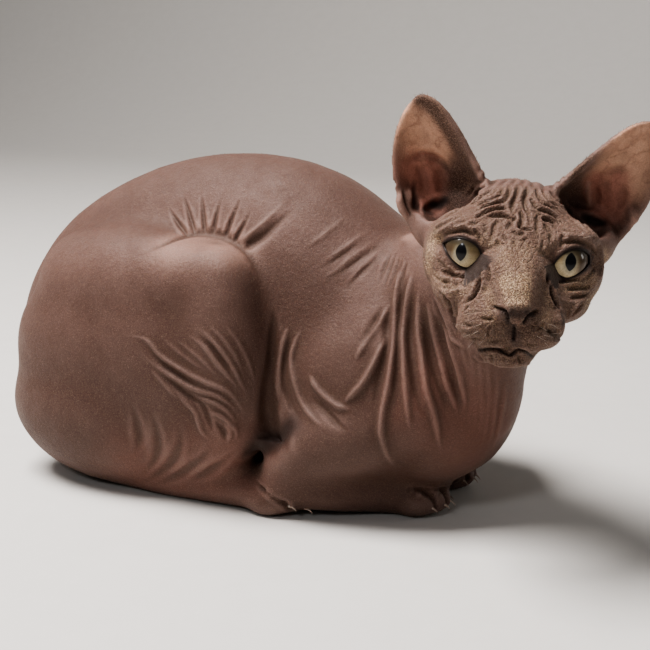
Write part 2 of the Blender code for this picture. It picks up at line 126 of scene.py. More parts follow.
# %% [markdown]
# The solids are parted by thin cuts and made of flat facets. A living skin has neither. Each node is
# copied, its loose triangles are merged, and it swells by less than half a millimetre, so that
# neighbours overlap. A voxel remesh then wraps all the copies in one closed surface. It could also be
# done with Boolean unions, but a remesh gives even quads, which are what sculpting needs.

# %% Helpers for meshes as arrays
SWELL = 0.4 * MM


def points_of(mesh):
    points = np.empty(len(mesh.vertices) * 3)
    mesh.vertices.foreach_get("co", points)
    return points.reshape(-1, 3)


def put_points(mesh, points):
    mesh.vertices.foreach_set("co", points.astype(np.float32).ravel())
    mesh.update()


def normals_of(mesh):
    normals = np.empty(len(mesh.vertices) * 3)
    mesh.vertex_normals.foreach_get("vector", normals)
    return normals.reshape(-1, 3)


def edges_of(mesh):
    edges = np.empty(len(mesh.edges) * 2, np.int32)
    mesh.edges.foreach_get("vertices", edges)
    return edges.reshape(-1, 2)


def in_frame(points, matrix):
    """Points of the row frame in another frame, in millimetres."""
    inverse = np.array(matrix.inverted())
    return (points @ inverse[:3, :3].T + inverse[:3, 3]) / MM


def ramp(values, start, end):
    """0 at start, 1 at end, smooth between them."""
    share = np.clip((values - start) / (end - start), 0, 1)
    return share * share * (3 - 2 * share)


def smoothed(points, edges, rounds, weight=1.0):
    """The points after rounds of averaging with their neighbours. Weight may differ from point to point."""
    count = len(points)
    neighbours = np.maximum(np.bincount(edges.ravel(), minlength=count), 1)
    for _ in range(rounds):
        mean = np.empty_like(points)
        for axis in range(3):
            column = points[:, axis]
            total = np.bincount(edges[:, 0], column[edges[:, 1]], count)
            total += np.bincount(edges[:, 1], column[edges[:, 0]], count)
            mean[:, axis] = total / neighbours
        points = points + 0.5 * np.reshape(weight, (-1, 1)) * (mean - points)
    return points


# %% Copy nodes and wrap them in one surface
def swollen(names, swell=SWELL):
    """One bmesh of merged and slightly swollen copies of the named nodes."""
    whole = bmesh.new()
    for name in names:
        copy = bmesh.new()
        copy.from_mesh(frame["nodes"][name].data)
        bmesh.ops.remove_doubles(copy, verts=copy.verts, dist=1e-6)
        copy.normal_update()
        for vertex in copy.verts:
            vertex.co += vertex.normal * swell
        mesh = bpy.data.meshes.new("copy")
        copy.to_mesh(mesh)
        copy.free()
        whole.from_mesh(mesh)
        bpy.data.meshes.remove(mesh)
    return whole


def wrapped(builder, voxel):
    """A closed surface of even quads round everything in a bmesh."""
    mesh = bpy.data.meshes.new("wrap")
    builder.to_mesh(mesh)
    builder.free()
    item = bpy.data.objects.new("wrap", mesh)
    bpy.context.scene.collection.objects.link(item)
    remesh = item.modifiers.new("Wrap", "REMESH")
    remesh.mode = "VOXEL"
    remesh.voxel_size = voxel
    result = bpy.data.meshes.new_from_object(item.evaluated_get(bpy.context.evaluated_depsgraph_get()))
    bpy.data.objects.remove(item)
    return result


FLESH = [name for name in sorted(frame["nodes"]) if not name.startswith("eye_")]
HEAD_NODES = ["head", "ear_right", "ear_left"]
body = wrapped(swollen([name for name in FLESH if name not in HEAD_NODES]), 2.2 * MM)
head = wrapped(swollen([*HEAD_NODES, "eye_right", "eye_left"]), 0.8 * MM)
print("body form", len(body.vertices), "points, head form", len(head.vertices), "points")

# %% [markdown]
# Facets of a centimetre on the trunk need strong smoothing, which would wear the toes and the tail
# away, so the smoothing has a weight: full on the trunk, light where the form is thin or meets the
# floor. The head's facets are smaller, and its ears are thin, so it is smoothed less.

# %% Smooth the two forms
BODY_ROUNDS, HEAD_ROUNDS = 22, 18


def on_feet(local):
    """1 on the toes of all four paws, 0 away from them, for points in the trunk's frame."""
    reach, height = local[:, 0], local[:, 2]
    toes = np.maximum(ramp(reach, 84, 94), ramp(reach, 16, 26) * (1 - ramp(reach, 52, 58)))
    return toes * (1 - ramp(height, 15, 22))


points = points_of(body)
local = in_frame(points, TRUNK)
on_trunk = ramp(local[:, 2], 6, 26)
on_tail = np.maximum(ramp(-local[:, 0], 148, 160), ramp(local[:, 1], 78, 88) * ramp(-local[:, 2], -30, -20))
weight = (0.25 + 0.75 * on_trunk) * (1 - 0.8 * on_tail) * (1 - 0.8 * on_feet(local))
put_points(body, smoothed(points, edges_of(body), BODY_ROUNDS, weight))

points = points_of(head)
local = in_frame(points, HEAD)
on_ear = ramp(local[:, 2], 30, 42)
put_points(head, smoothed(points, edges_of(head), HEAD_ROUNDS, 1 - 0.65 * on_ear))

# %% One skin round both
SKIN_VOXEL = 0.9 * MM
both = bmesh.new()
both.from_mesh(body)
both.from_mesh(head)
skin_mesh = wrapped(both, SKIN_VOXEL)
points, edges = points_of(skin_mesh), edges_of(skin_mesh)
from_nape = np.linalg.norm(in_frame(points, HEAD) - (-52, 0, -14), axis=1)
at_nape = 1 - ramp(from_nape, 34, 52)
points = smoothed(points, edges, 3)
points = smoothed(points, edges, 30, at_nape)
put_points(skin_mesh, points)
print("skin", len(skin_mesh.vertices), "points")

# %% [markdown]
# The brow, the lids and the nose carry creases under a millimetre wide, finer than the skin's mesh.
# Only the face is subdivided, which is cheaper than a finer wrap of the whole cat.

# %% A finer face
def face_share(points):
    """1 on the face, 0 away from it."""
    local = in_frame(points, HEAD)
    across = np.abs(local[:, 1])
    return ramp(local[:, 0], -26, -18) * (1 - ramp(local[:, 2], 34, 40)) * (1 - ramp(across, 42, 46))


builder = bmesh.new()
builder.from_mesh(skin_mesh)
builder.verts.ensure_lookup_table()
on_face = face_share(points_of(skin_mesh)) > 0.5
face_edges = [edge for edge in builder.edges if on_face[edge.verts[0].index] and on_face[edge.verts[1].index]]
bmesh.ops.subdivide_edges(builder, edges=face_edges, cuts=1, use_grid_fill=True)
bmesh.ops.triangulate(builder, faces=[face for face in builder.faces if len(face.verts) > 4])
builder.to_mesh(skin_mesh)
builder.free()
rest, rest_edges = points_of(skin_mesh), edges_of(skin_mesh)
rest = smoothed(rest, rest_edges, 2, face_share(rest))
put_points(skin_mesh, rest)
print("with a finer face", len(rest), "points")

# %% [markdown]
# A lid is a thin edge of skin that lies on the eyeball. Its outline is a closed curve laid on a ball
# just outside the eyeball. Skin outside the curve is drawn down to a thin rim, skin inside it falls
# steeply behind the eyeball, and points close to the curve are slid onto it, so that the rim is clean.
# The corners towards the nose end in a short dark point, where tears drain.

# %% Lids
LID_EDGE, LID_ROUND, SOCKET_DEPTH, LID_ROUNDS = 0.9, 0.6, 1.7, 30
OPENINGS = {
    "right": [
        (443.3, 243.8), (448.5, 239.9), (456.6, 238), (464, 238.4), (471, 241.2), (476.5, 245), (480, 250),
        (481.5, 255), (480, 260), (476, 264.8), (471.5, 267.6), (466.5, 268.6), (461, 267), (456, 263.8),
        (450.5, 258.5), (446.4, 252.2),
    ],
    "left": [
        (591.5, 257.6), (587.5, 252.4), (582.5, 249.4), (577, 248.6), (571, 249.6), (565, 252.4), (559.5, 256.4),
        (555.5, 261), (553.2, 266), (555.2, 271), (559, 275.4), (564, 278), (569, 278.3), (575, 276.2),
        (580, 273.2), (585, 269.6), (589.2, 264.8), (591.4, 261),
    ],
}


def curve_through(stops, steps=8, closed=False):
    """Points on a smooth curve through a few stops."""
    stops = [np.array(stop, float) for stop in stops]
    if closed:
        padded = [stops[-1], *stops, stops[0], stops[1]]
    else:
        padded = [2 * stops[0] - stops[1], *stops, 2 * stops[-1] - stops[-2]]
    line = []
    for before, start, end, after in zip(padded, padded[1:], padded[2:], padded[3:]):
        for step in range(steps):
            t = step / steps
            bend = (2 * before - 5 * start + 4 * end - after) * t**2
            line.append(0.5 * (2 * start + (end - before) * t + bend + (3 * start - before - 3 * end + after) * t**3))
    return line if closed else [*line, stops[-1]]


def on_ball(side, stop, radius):
    """Where the ray through a point of the picture meets a ball round the middle of an eyeball."""
    ray = picture_ray(*stop)
    offset = camera.location - EYES[side]
    nearest = -offset.dot(ray)
    reach = radius**2 - (offset + ray * nearest).length_squared
    return camera.location + ray * (nearest - math.sqrt(max(reach, 0)))


def flat_on_eye(spots, side, axes):
    """Where points lie on an eyeball, unrolled round its axis into flat millimetres of arc."""
    away = spots - np.array(EYES[side])
    away = away / np.linalg.norm(away, axis=1)[:, None]
    across, up = away @ axes[1], away @ axes[2]
    sideways = np.maximum(np.hypot(across, up), 1e-9)
    angle = np.arctan2(sideways, away @ axes[0])
    return np.stack([across, up], axis=1) * (angle / sideways)[:, None] * EYE_RADIUS / MM


def from_flat(flat, axes):
    """The directions from the middle of an eyeball that flat points stand for."""
    arc = np.maximum(np.linalg.norm(flat, axis=1), 1e-9)
    angle = arc * MM / EYE_RADIUS
    sides = flat / arc[:, None] * np.sin(angle)[:, None]
    return np.cos(angle)[:, None] * axes[0] + sides[:, :1] * axes[1] + sides[:, 1:] * axes[2]


def distance_inside(flat, loop):
    """The distance of flat points to a closed line, below zero inside it, and the nearest points on it."""
    nearest, gap = np.zeros_like(flat), np.full(len(flat), np.inf)
    inside = np.zeros(len(flat), bool)
    for start, end in zip(loop, np.roll(loop, -1, axis=0)):
        run = end - start
        part = np.clip((flat - start) @ run / (run @ run), 0, 1)
        foot = start + part[:, None] * run
        reach = np.linalg.norm(flat - foot, axis=1)
        closer = reach < gap
        gap[closer], nearest[closer] = reach[closer], foot[closer]
        crosses = (start[1] > flat[:, 1]) != (end[1] > flat[:, 1])
        crossing = start[0] + (flat[:, 1] - start[1]) / (run[1] if run[1] else 1e-12) * run[0]
        inside ^= crosses & (flat[:, 0] < crossing)
    return np.where(inside, -gap, gap), nearest


def eye_axes(loop, side):
    """Forward, across and up directions of an eye, forward through the middle of its opening."""
    forward = (Vector(loop.mean(axis=0)) - EYES[side]).normalized()
    across = Vector((0, 0, 1)).cross(forward).normalized()
    return np.array([forward, across, forward.cross(across)])


def round_eye(points, side):
    """The points round an eye, laid out flat on it, with their distance to the lid edge and the nearest spot of it."""
    loop = lid_lines[side]
    axes = eye_axes(loop, side)
    near = np.flatnonzero(np.linalg.norm(points - np.array(EYES[side]), axis=1) < EYE_RADIUS + 12 * MM)
    flat = flat_on_eye(points[near], side, axes)
    close = np.linalg.norm(flat, axis=1) < 24
    gap, foot = distance_inside(flat[close], flat_on_eye(loop, side, axes))
    return near[close], flat[close], gap, foot, axes


lid_lines = {}
for side, stops in OPENINGS.items():
    loop = [on_ball(side, stop, EYE_RADIUS + 0.6 * MM) for stop in curve_through(stops, 5, closed=True)]
    lid_lines[side] = np.array(loop)
    near, flat, gap, foot, axes = round_eye(rest, side)
    centre = np.array(EYES[side])
    slide = np.exp(-((gap / 0.35) ** 2))[:, None] * (foot - flat)
    direction = from_flat(flat + slide, axes)
    away = np.linalg.norm(rest[near] - centre, axis=1) / MM
    ball = EYE_RADIUS / MM
    rim = ball + LID_EDGE + LID_ROUND * ramp(gap, 0, 1.4)
    outer = rim + (np.maximum(away, ball + LID_EDGE) - rim) * ramp(gap, 0.8, 4.5)
    inner = ball + LID_EDGE - (LID_EDGE + SOCKET_DEPTH) * ramp(-gap, 0.1, 0.7)
    rest[near] = centre + direction * np.where(gap > 0, outer, inner)[:, None] * MM
put_points(skin_mesh, rest)

# %% [markdown]
# Drawing the skin down to the lids stretches it beside the nose, where the socket's wall is steep.
# Long edges there are cut into short ones, and the new points are smoothed into an even surface.

# %% Even skin round the lids
LONGEST_EDGE = 0.8 * MM


def cut_long_edges(mesh, longest, reach):
    """Halves the edges round the eyes up to three times, so that the skin there has points all over."""
    builder = bmesh.new()
    builder.from_mesh(mesh)
    for _ in range(3):
        long_edges = []
        for edge in builder.edges:
            middle = (edge.verts[0].co + edge.verts[1].co) / 2
            at_eye = min((middle - centre).length for centre in EYES.values()) < EYE_RADIUS + reach
            if at_eye and edge.calc_length() > longest:
                long_edges.append(edge)
        bmesh.ops.subdivide_edges(builder, edges=long_edges, cuts=1)
        bmesh.ops.triangulate(builder, faces=[face for face in builder.faces if len(face.verts) > 4])
        print("cut", len(long_edges), "long edges")
    builder.to_mesh(mesh)
    builder.free()


cut_long_edges(skin_mesh, LONGEST_EDGE, 12 * MM)
rest, rest_edges = points_of(skin_mesh), edges_of(skin_mesh)
from_lid = np.full(len(rest), 50.0)
for side in OPENINGS:
    near, flat, gap, foot, axes = round_eye(rest, side)
    away = np.linalg.norm(rest[near] - np.array(EYES[side]), axis=1) - EYE_RADIUS
    height = np.maximum(away / MM - LID_EDGE - LID_ROUND, 0)
    from_lid[near] = np.minimum(from_lid[near], np.where(gap > 0, np.hypot(gap, height), gap))
rest = smoothed(rest, rest_edges, LID_ROUNDS, ramp(from_lid, 0.7, 2.0) * (1 - ramp(from_lid, 5, 9)))
put_points(skin_mesh, rest)
print("with even lids", len(rest), "points")

# %% [markdown]
# A fold is a line on the skin with a width and a height: above zero it is a ridge, below zero a
# crease, and a crease pushes up a soft lip on both of its sides, as real skin does. The lines of the
# side that shows are drawn on the picture with a few stops each, and rays carry them to the skin.
# A painted displacement map could do this too, but lines stay readable and move with the form.

# %% Lines on the skin
skin = bpy.data.objects.new("skin", skin_mesh)
bpy.context.scene.collection.objects.link(skin)
bpy.context.view_layer.update()
rest_normals = normals_of(skin_mesh)
relief = np.zeros(len(rest))
hollow = np.zeros(len(rest))
rng = np.random.default_rng(7)


def seen(stops):
    """The line on the skin that the camera sees behind a curve of the picture: spots and normals."""
    hits = [skin.ray_cast(camera.location, picture_ray(*stop)) for stop in curve_through(stops)]
    return np.array([[*spot, *normal] for found, spot, normal, _ in hits if found])


def laid(stops):
    """The line on the skin nearest to stops in the trunk's frame, in millimetres."""
    world = np.array(stops, float) * MM + np.array(TRUNK.translation)
    hits = [skin.closest_point_on_mesh(Vector(spot)) for spot in world]
    return np.array([[*spot, *normal] for _, spot, normal, _ in hits])


def mirrored(line):
    """The same line on the other side of the trunk, laid on the skin there."""
    return laid(in_frame(line[:, :3], TRUNK) * (1, -1, 1))


def along(line, reach):
    """The skin's points near a line: distance in millimetres, share of the way along, and if they face as it does."""
    low, high = line[:, :3].min(axis=0) - reach * MM, line[:, :3].max(axis=0) + reach * MM
    near = np.flatnonzero(((rest > low) & (rest < high)).all(axis=1))
    spots, normals = rest[near], rest_normals[near]
    distance, share, facing = np.full(len(near), np.inf), np.zeros(len(near)), np.zeros(len(near))
    for index, (start, end) in enumerate(zip(line, line[1:])):
        run = (end - start)[:3]
        part = np.clip((spots - start[:3]) @ run / max(run @ run, 1e-12), 0, 1)
        gap = np.linalg.norm(spots - start[:3] - part[:, None] * run, axis=1)
        closer = gap < distance
        distance[closer] = gap[closer]
        share[closer] = (index + part[closer]) / (len(line) - 1)
        facing[closer] = normals[closer] @ start[3:]
    return near, distance / MM, share, ramp(facing, -0.1, 0.4)


def fold(line, half_width, height, ends=(0.4, 0.4), lips=0.25):
    """Raises a ridge of skin along a line, or presses a crease with soft lips where height is below zero."""
    if len(line) < 2:
        return
    near, distance, share, facing = along(line, 3.5 * half_width)
    taper = ramp(share, 0, ends[0]) * ramp(1 - share, 0, ends[1]) * facing
    width = half_width * (0.5 + 0.5 * taper)
    core = np.exp(-((distance / width) ** 2))
    relief[near] += taper * height * core
    if height < 0:
        relief[near] -= taper * lips * height * np.exp(-(((distance - 2.1 * width) / width) ** 2))
        hollow[near] = np.maximum(hollow[near], taper * core * min(1, -height))


def fan(first, last, count, sway=0.7):
    """Lines of the picture spread from a first one to a last one, each drawn a little unevenly."""
    first, last = np.array(first, float), np.array(last, float)
    shares = [index / (count - 1) for index in range(count)]
    return [first + (last - first) * share + rng.normal(0, sway, first.shape) for share in shares]


def wobble(points, scale, seed, waves=7):
    """A smooth uneven number between about -1 and 1 at each point, its bumps about scale millimetres apart."""
    dice = np.random.default_rng(seed)
    total = np.zeros(len(points))
    for _ in range(waves):
        direction = dice.normal(size=3)
        direction *= 2 * math.pi / (scale * MM * dice.uniform(0.7, 1.5) * np.linalg.norm(direction))
        total += np.sin(points @ direction + dice.uniform(0, 2 * math.pi))
    return total / math.sqrt(waves)


# %% [markdown]
# The neck skin of this breed hangs in long pleats from the jaw to the breast, and short pleats cross
# the withers. The haunch is smooth over the muscle and folds where the thigh bends: a fan above the
# knee, long bows low on the thigh. Each list below holds the stops of one fold, as seen in the picture.

# %% Folds of the neck and the withers
NECK_ROPES = [
    [(401, 264), (398, 280), (395, 324), (391, 372), (383, 412), (382, 436), (388, 456), (398, 470)],
    [(413, 268), (409, 290), (403, 328), (403, 350), (406, 384), (408, 414), (410, 432)],
    [(419, 282), (418, 324), (421, 352), (426, 386), (433, 412), (438, 436), (441, 452)],
    [(427, 298), (432, 328), (438, 352), (445, 378), (453, 400), (458, 414)],
    [(441, 318), (449, 342), (457, 366), (463, 390), (466, 410)],
    [(389, 328), (381, 350), (372, 368), (362, 384), (350, 397), (342, 405)],
    [(390, 304), (381, 320), (370, 336), (361, 350), (354, 362)],
]
NECK_VALLEYS = [
    [(407, 270), (402, 300), (398, 332), (397, 362), (395, 390), (394, 416)],
    [(415, 286), (411, 316), (411, 346), (415, 378), (419, 402), (424, 424)],
    [(423, 296), (427, 322), (431, 346), (437, 374), (443, 396), (448, 420)],
    [(434, 306), (443, 334), (450, 360), (457, 386), (460, 402)],
    [(393, 300), (388, 322), (386, 346), (381, 368), (376, 392), (372, 410)],
    [(384, 306), (376, 324), (366, 342), (356, 356)],
]
NAPE_FAN = fan([(392, 250), (386, 266), (378, 288)], [(408, 258), (404, 276), (398, 300)], 5, 0.5)
WITHERS_ROPES = [
    [(384, 234), (372, 242), (361, 250), (348, 260), (336, 270), (320, 278), (304, 282)],
    [(389, 243), (378, 252), (368, 261), (354, 275), (342, 286)],
    [(373, 226), (356, 239), (338, 252), (318, 264)],
    [(350, 212), (334, 226), (316, 240), (300, 248)],
]
WITHERS_VALLEYS = [
    [(386, 239), (378, 246), (364, 256), (352, 265), (340, 273), (326, 279)],
    [(380, 256), (370, 265), (360, 274), (350, 285), (341, 296)],
    [(366, 238), (348, 251), (330, 263), (312, 270)],
]
THROAT_FAN = fan(
    [(446, 310), (454, 338), (460, 366), (464, 396), (464, 430)],
    [(505, 376), (505, 394), (502, 412), (498, 436), (492, 456)],
    7,
)
for stops in NECK_VALLEYS:
    fold(seen(stops), 2.6, -1.9, ends=(0.3, 0.5), lips=0)
for stops in NECK_ROPES:
    fold(seen(stops), 1.75, 2.1, ends=(0.25, 0.35))
for stops in NAPE_FAN:
    fold(seen(stops), 1.3, -0.9, ends=(0.5, 0.5))
for stops in THROAT_FAN:
    fold(seen(stops), 1.8, 0.5)
for stops in WITHERS_VALLEYS:
    for line in (seen(stops), mirrored(seen(stops))):
        fold(line, 1.5, -0.8, ends=(0.7, 0.7), lips=0.1)
for stops in WITHERS_ROPES:
    for line in (seen(stops), mirrored(seen(stops))):
        fold(line, 1.7, 0.8, ends=(0.7, 0.7))
for index in range(6):
    start = 128 - 9 * index
    fold(laid([(start, 30, 118), (start - 3, 44, 96), (start - 8, 52, 74), (start - 16, 54, 52)]), 2.4, -1.2, lips=0.5)
print("neck and withers:", len(NECK_ROPES + NECK_VALLEYS + WITHERS_ROPES + WITHERS_VALLEYS), "folds")

# %% Folds of the haunch and the flank, on both sides
KNEE_CREASES = [
    [(168, 206), (176, 220), (188, 236)],
    [(183, 194), (188, 210), (195, 234)],
    [(201, 190), (203, 210), (205, 234)],
    [(222, 194), (217, 214), (213, 234)],
    [(242, 194), (234, 214), (225, 238)],
    [(252, 208), (243, 226), (233, 243)],
]
KNEE_WEDGE = [(300, 204), (280, 220), (264, 235), (243, 249)]
KNEE_WEDGE_ROPE = [(296, 190), (278, 208), (264, 222), (248, 236), (236, 246)]
THIGH_ROPES = [
    [(133, 344), (151, 362), (164, 371.5), (179.6, 381), (197, 390), (212, 394), (223, 399), (232, 407), (240, 420)],
    [(123, 335), (138, 337), (149, 342), (160, 355), (175, 366), (203, 381), (227, 391), (238, 403), (246, 418)],
    [(192, 322), (210, 338), (221, 351), (232, 366), (240, 381), (249, 399)],
    [(183, 330), (203, 346), (216, 362), (229, 377), (240, 392)],
    [(173, 388), (184, 401), (195, 412), (199, 423), (203, 433), (211, 441)],
    [(190, 393), (205, 399), (219, 405), (230, 414), (238, 429)],
    [(204, 411), (216, 414), (227, 420), (236, 431), (234, 443)],
    [(222, 420), (230, 430), (228, 443)],
]
HAUNCH_SOFT = [
    [(146, 406), (155, 424), (158, 442), (154, 460), (142, 474)],
    [(128, 398), (136, 418), (139, 438), (134, 456)],
    [(176, 420), (180, 438), (174, 458), (158, 474), (138, 484)],
    [(216, 440), (205, 455), (188, 468), (168, 478), (146, 486)],
    [(240, 446), (222, 462), (202, 474), (184, 481)],
]
THIGH_FINE = [
    [(147, 366), (158, 377), (169, 390), (180, 402)],
    [(206, 322), (222, 338), (236, 358), (246, 382)],
    [(172, 336), (190, 350), (206, 364), (220, 380)],
    [(222, 322), (238, 342), (250, 366), (256, 390)],
    [(160, 336), (176, 350), (192, 362), (208, 372)],
]
THIGH_VALLEYS = [
    [(143, 344), (160, 361), (175, 372), (190, 383), (205, 389.5)],
    [(160, 372), (176, 386), (192, 398), (206, 405)],
    [(196, 398), (204, 408), (209, 421), (213, 434)],
    [(214, 420), (222, 430), (225, 442)],
    [(198, 334), (212, 348), (224, 364), (234, 382)],
]
FLANK_ROPES = [
    [(288, 324), (284, 342), (279, 366), (277, 388), (278, 404)],
    [(302, 326), (295, 344), (291.5, 362), (296, 384), (303, 403), (313, 418), (327, 430)],
    [(308, 372), (316, 386), (326, 397), (338, 406), (352, 411)],
]
FLANK_VALLEYS = [
    [(294, 330), (287, 350), (284.5, 372), (287, 392), (294, 410), (304, 424)],
    [(308, 392), (318, 404), (328, 414), (338, 424), (352, 434)],
    [(274, 306), (274, 330), (273, 355), (271, 388)],
]
KNEE_EDGE = [(128, 262), (158, 247), (182, 237), (206, 233), (232, 240), (250, 258), (262, 284)]
GROIN = [(272, 318), (272, 345), (271, 372), (269, 398), (268, 424), (268, 444)]
GROIN_POCKET = [(294, 424), (280, 434), (266, 446), (254, 458)]
for mirror in (False, True):
    place = (lambda stops: mirrored(seen(stops))) if mirror else seen
    for stops in KNEE_CREASES:
        fold(place(stops), 1.1, -1.3, ends=(0.8, 0.15), lips=0.45)
    fold(place(KNEE_WEDGE), 2.6, -2.0, ends=(0.8, 0.1), lips=0)
    fold(place(KNEE_WEDGE_ROPE), 1.9, 1.3, ends=(0.8, 0.3))
    for stops in THIGH_VALLEYS:
        fold(place(stops), 1.5, -1.4, lips=0)
    for stops in THIGH_ROPES:
        fold(place(stops), 1.3, 1.2, ends=(0.4, 0.35))
    for stops in THIGH_FINE:
        fold(place(stops), 1.1, 0.6)
    for stops in HAUNCH_SOFT:
        fold(place(stops), 2.4, -0.8, ends=(0.6, 0.5), lips=0.5)
    for stops in FLANK_VALLEYS:
        fold(place(stops), 2.2, -1.8, lips=0)
    for stops in FLANK_ROPES:
        fold(place(stops), 1.6, 1.7, ends=(0.25, 0.25))
    fold(place(KNEE_EDGE), 2.6, -1.3, lips=0)
    fold(place(GROIN), 4.5, -5.0, ends=(0.6, 0.05), lips=0)
    fold(place(GROIN_POCKET), 8.0, -4.5, ends=(0.4, 0.4), lips=0)
print("haunch and flank:", len(KNEE_CREASES + THIGH_ROPES + THIGH_VALLEYS + FLANK_ROPES), "folds a side")

# %% [markdown]
# A cat's paw has four toes, parted by short deep creases, with a knuckle on each and a wrinkle behind
# it. The solids hold the toes, and the creases part them clearly.

# %% Toes
FORE_TOES = [(110, 33.5), (116, 26), (117, 18), (112, 10.5)]
HIND_TOES = [(41, 63.5), (47, 55.5), (47, 47), (41, 39)]
for side in (1, -1):
    for toes in (FORE_TOES, HIND_TOES):
        for (tip, across), (next_tip, next_across) in zip(toes, toes[1:]):
            end, between = (tip + next_tip) / 2, side * (across + next_across) / 2
            gap = [(end - 19, between, 17), (end - 12, between, 16), (end - 5, between, 12), (end - 1, between, 4)]
            fold(laid(gap), 1.3, -2.4, ends=(0.5, 0.1), lips=0.1)
        for tip, across in toes:
            y = side * across
            knuckle = [(tip - 12, y - 3.5, 15), (tip - 12, y, 16), (tip - 12, y + 3.5, 15)]
            fold(laid(knuckle), 0.9, -0.5, lips=0.5)
            fold(laid([(tip - 9, y, 15), (tip - 5, y, 13)]), 2.2, 0.7)

# %% [markdown]
# The brow is the breed's mark: creases stand upright between the ears, run together over the nose
# and flare outwards over the eyes. The picture shows each of them, so each is a line of its own. On
# the crown behind, which it doesn't show, a formula carries them on: across times height gives
# hyperbolas with the same flare, and a wave along them raises round ridges with sharp creases between.

# %% Wrinkles of the brow
BROW_CREASES = [
    [(475, 187), (471, 192), (467, 198)],
    [(486, 184), (482, 189), (478, 193), (473, 198)],
    [(493, 187), (487, 193), (482, 196), (476, 201), (469, 206)],
    [(502, 187), (501, 193), (497, 197), (491, 200), (483, 203), (474, 208)],
    [(508, 183), (509.5, 190), (508, 196), (504, 201), (498, 203), (490, 205), (482, 208), (472, 213)],
    [(518, 182), (517.5, 191), (515.5, 197), (513, 203), (512, 209), (512.5, 214)],
    [(527, 184), (527, 192), (525, 198), (524.5, 203), (526, 209), (528.5, 215), (528.5, 222)],
    [(528, 195), (531, 200), (534, 204.5), (537, 208.5), (542, 210.5), (548, 213), (554, 216.5), (560, 221), (574, 231)],
    [(536, 187), (537.5, 193), (539.5, 199), (543, 203.5), (549, 206.5), (556, 210)],
    [(542, 188), (544, 195), (547.5, 200.5), (553, 204), (560, 207)],
    [(550, 190), (553, 196), (558, 201), (564, 206)],
    [(561, 198), (565, 204), (569, 210), (573, 216)],
    [(474, 219), (480, 215.5), (487, 212), (495, 209.5), (503, 209), (508, 210)],
    [(521, 209), (521.5, 214), (522.3, 219), (521.3, 224), (520.3, 227.5), (525, 229.3), (531, 230), (536, 230)],
]
BROW_LOW = [
    [(500, 220), (496.5, 223), (494, 228), (493, 234), (493, 241)],
    [(513, 219), (511, 223.5), (508, 227.5), (505, 230)],
    [(511, 231), (515, 233), (519, 234.5), (524, 233), (527, 230.5)],
    [(538, 213), (537.3, 219), (537, 225), (537, 232), (538, 237)],
    [(549, 226), (550.5, 232), (550.5, 238), (550, 244)],
    [(503, 234), (505, 238), (509.5, 241.5)],
    [(565, 233), (563, 237), (561.5, 242), (561, 247)],
    [(472, 229), (476, 232.5), (479.5, 238), (480, 244)],
    [(543, 222), (546.5, 228), (547, 235)],
]
BROW_DEEP = [
    [(485, 217), (491, 216.5), (497, 216), (503, 216), (508, 217.5), (512, 219.5), (515, 218.5), (518, 216)],
    [(540, 219), (546, 220), (551, 222), (556, 224.5)],
]
BROW_FAINT = [
    [(466, 213), (458, 217), (448, 222), (438, 228), (430, 234)],
    [(472, 218), (462, 222), (452, 227), (443, 232), (436, 239)],
    [(482, 221), (474, 223.5), (465, 225.5)],
    [(464, 205), (456, 211), (446, 217), (436, 224)],
    [(562, 213), (570, 219), (578, 226), (586, 233), (592, 240)],
    [(560, 229), (568, 231), (577, 233), (585, 237)],
    [(572, 213), (580, 221), (588, 229), (596, 238)],
    [(484, 222), (486, 228), (486, 236)],
    [(490, 232), (491, 238), (489, 245)],
    [(525.5, 236), (525, 243)],
    [(497, 238), (498, 244), (497, 250)],
    [(514, 237), (514, 243), (516, 249)],
    [(543, 238), (543, 245), (540, 251)],
]
WRINKLE_STEP, BROW_BOTTOM, BROW_TOP = 3.6, 7.0, 37.0


def corrugated(phase):
    """Round ridges with a sharp crease wherever the phase is a whole number, from about -0.7 to 0.3."""
    return np.abs(np.sin(math.pi * phase)) ** 0.8 - 0.68


for stops in BROW_CREASES:
    fold(seen(stops), 0.9, -1.15, ends=(0.2, 0.25), lips=0.5)
for stops in BROW_DEEP:
    fold(seen(stops), 1.0, -1.45, ends=(0.25, 0.25), lips=0.4)
for stops in BROW_LOW:
    fold(seen(stops), 0.95, -0.8, ends=(0.3, 0.4), lips=0.5)
for stops in BROW_FAINT:
    fold(seen(stops), 0.9, -0.55, lips=0.5)
local = in_frame(rest, HEAD)
x, y, z = local.T
above = np.clip(z - BROW_BOTTOM, 0, BROW_TOP - BROW_BOTTOM)
flared = y * above / ((BROW_TOP - BROW_BOTTOM) * WRINKLE_STEP) + 0.35 * wobble(rest, 26, 3)
behind = ramp(-x, 20, 28) * (1 - ramp(-x, 52, 66)) * ramp(z, 14, 22)
behind *= 1 - ramp(np.abs(y), 16, 23)
relief += 1.15 * behind * corrugated(flared)
deepest = np.where(face_share(rest) > 0.5, -1.2, -20)
relief = np.maximum(relief, deepest + 0.35 * (relief - deepest))
print("brow:", len(BROW_CREASES + BROW_DEEP + BROW_FAINT), "creases,", int((behind > 0.5).sum()), "points behind them")

# %% [markdown]
# Round the eyes the skin lies in rings, a deep furrow runs from the tear corner down to the muzzle,
# and the cheeks hang in a jowl behind the whisker pads. Between these lines the whole face is finely
# crazed, like dry paint: a net of hair-thin creases, which is left to the material.

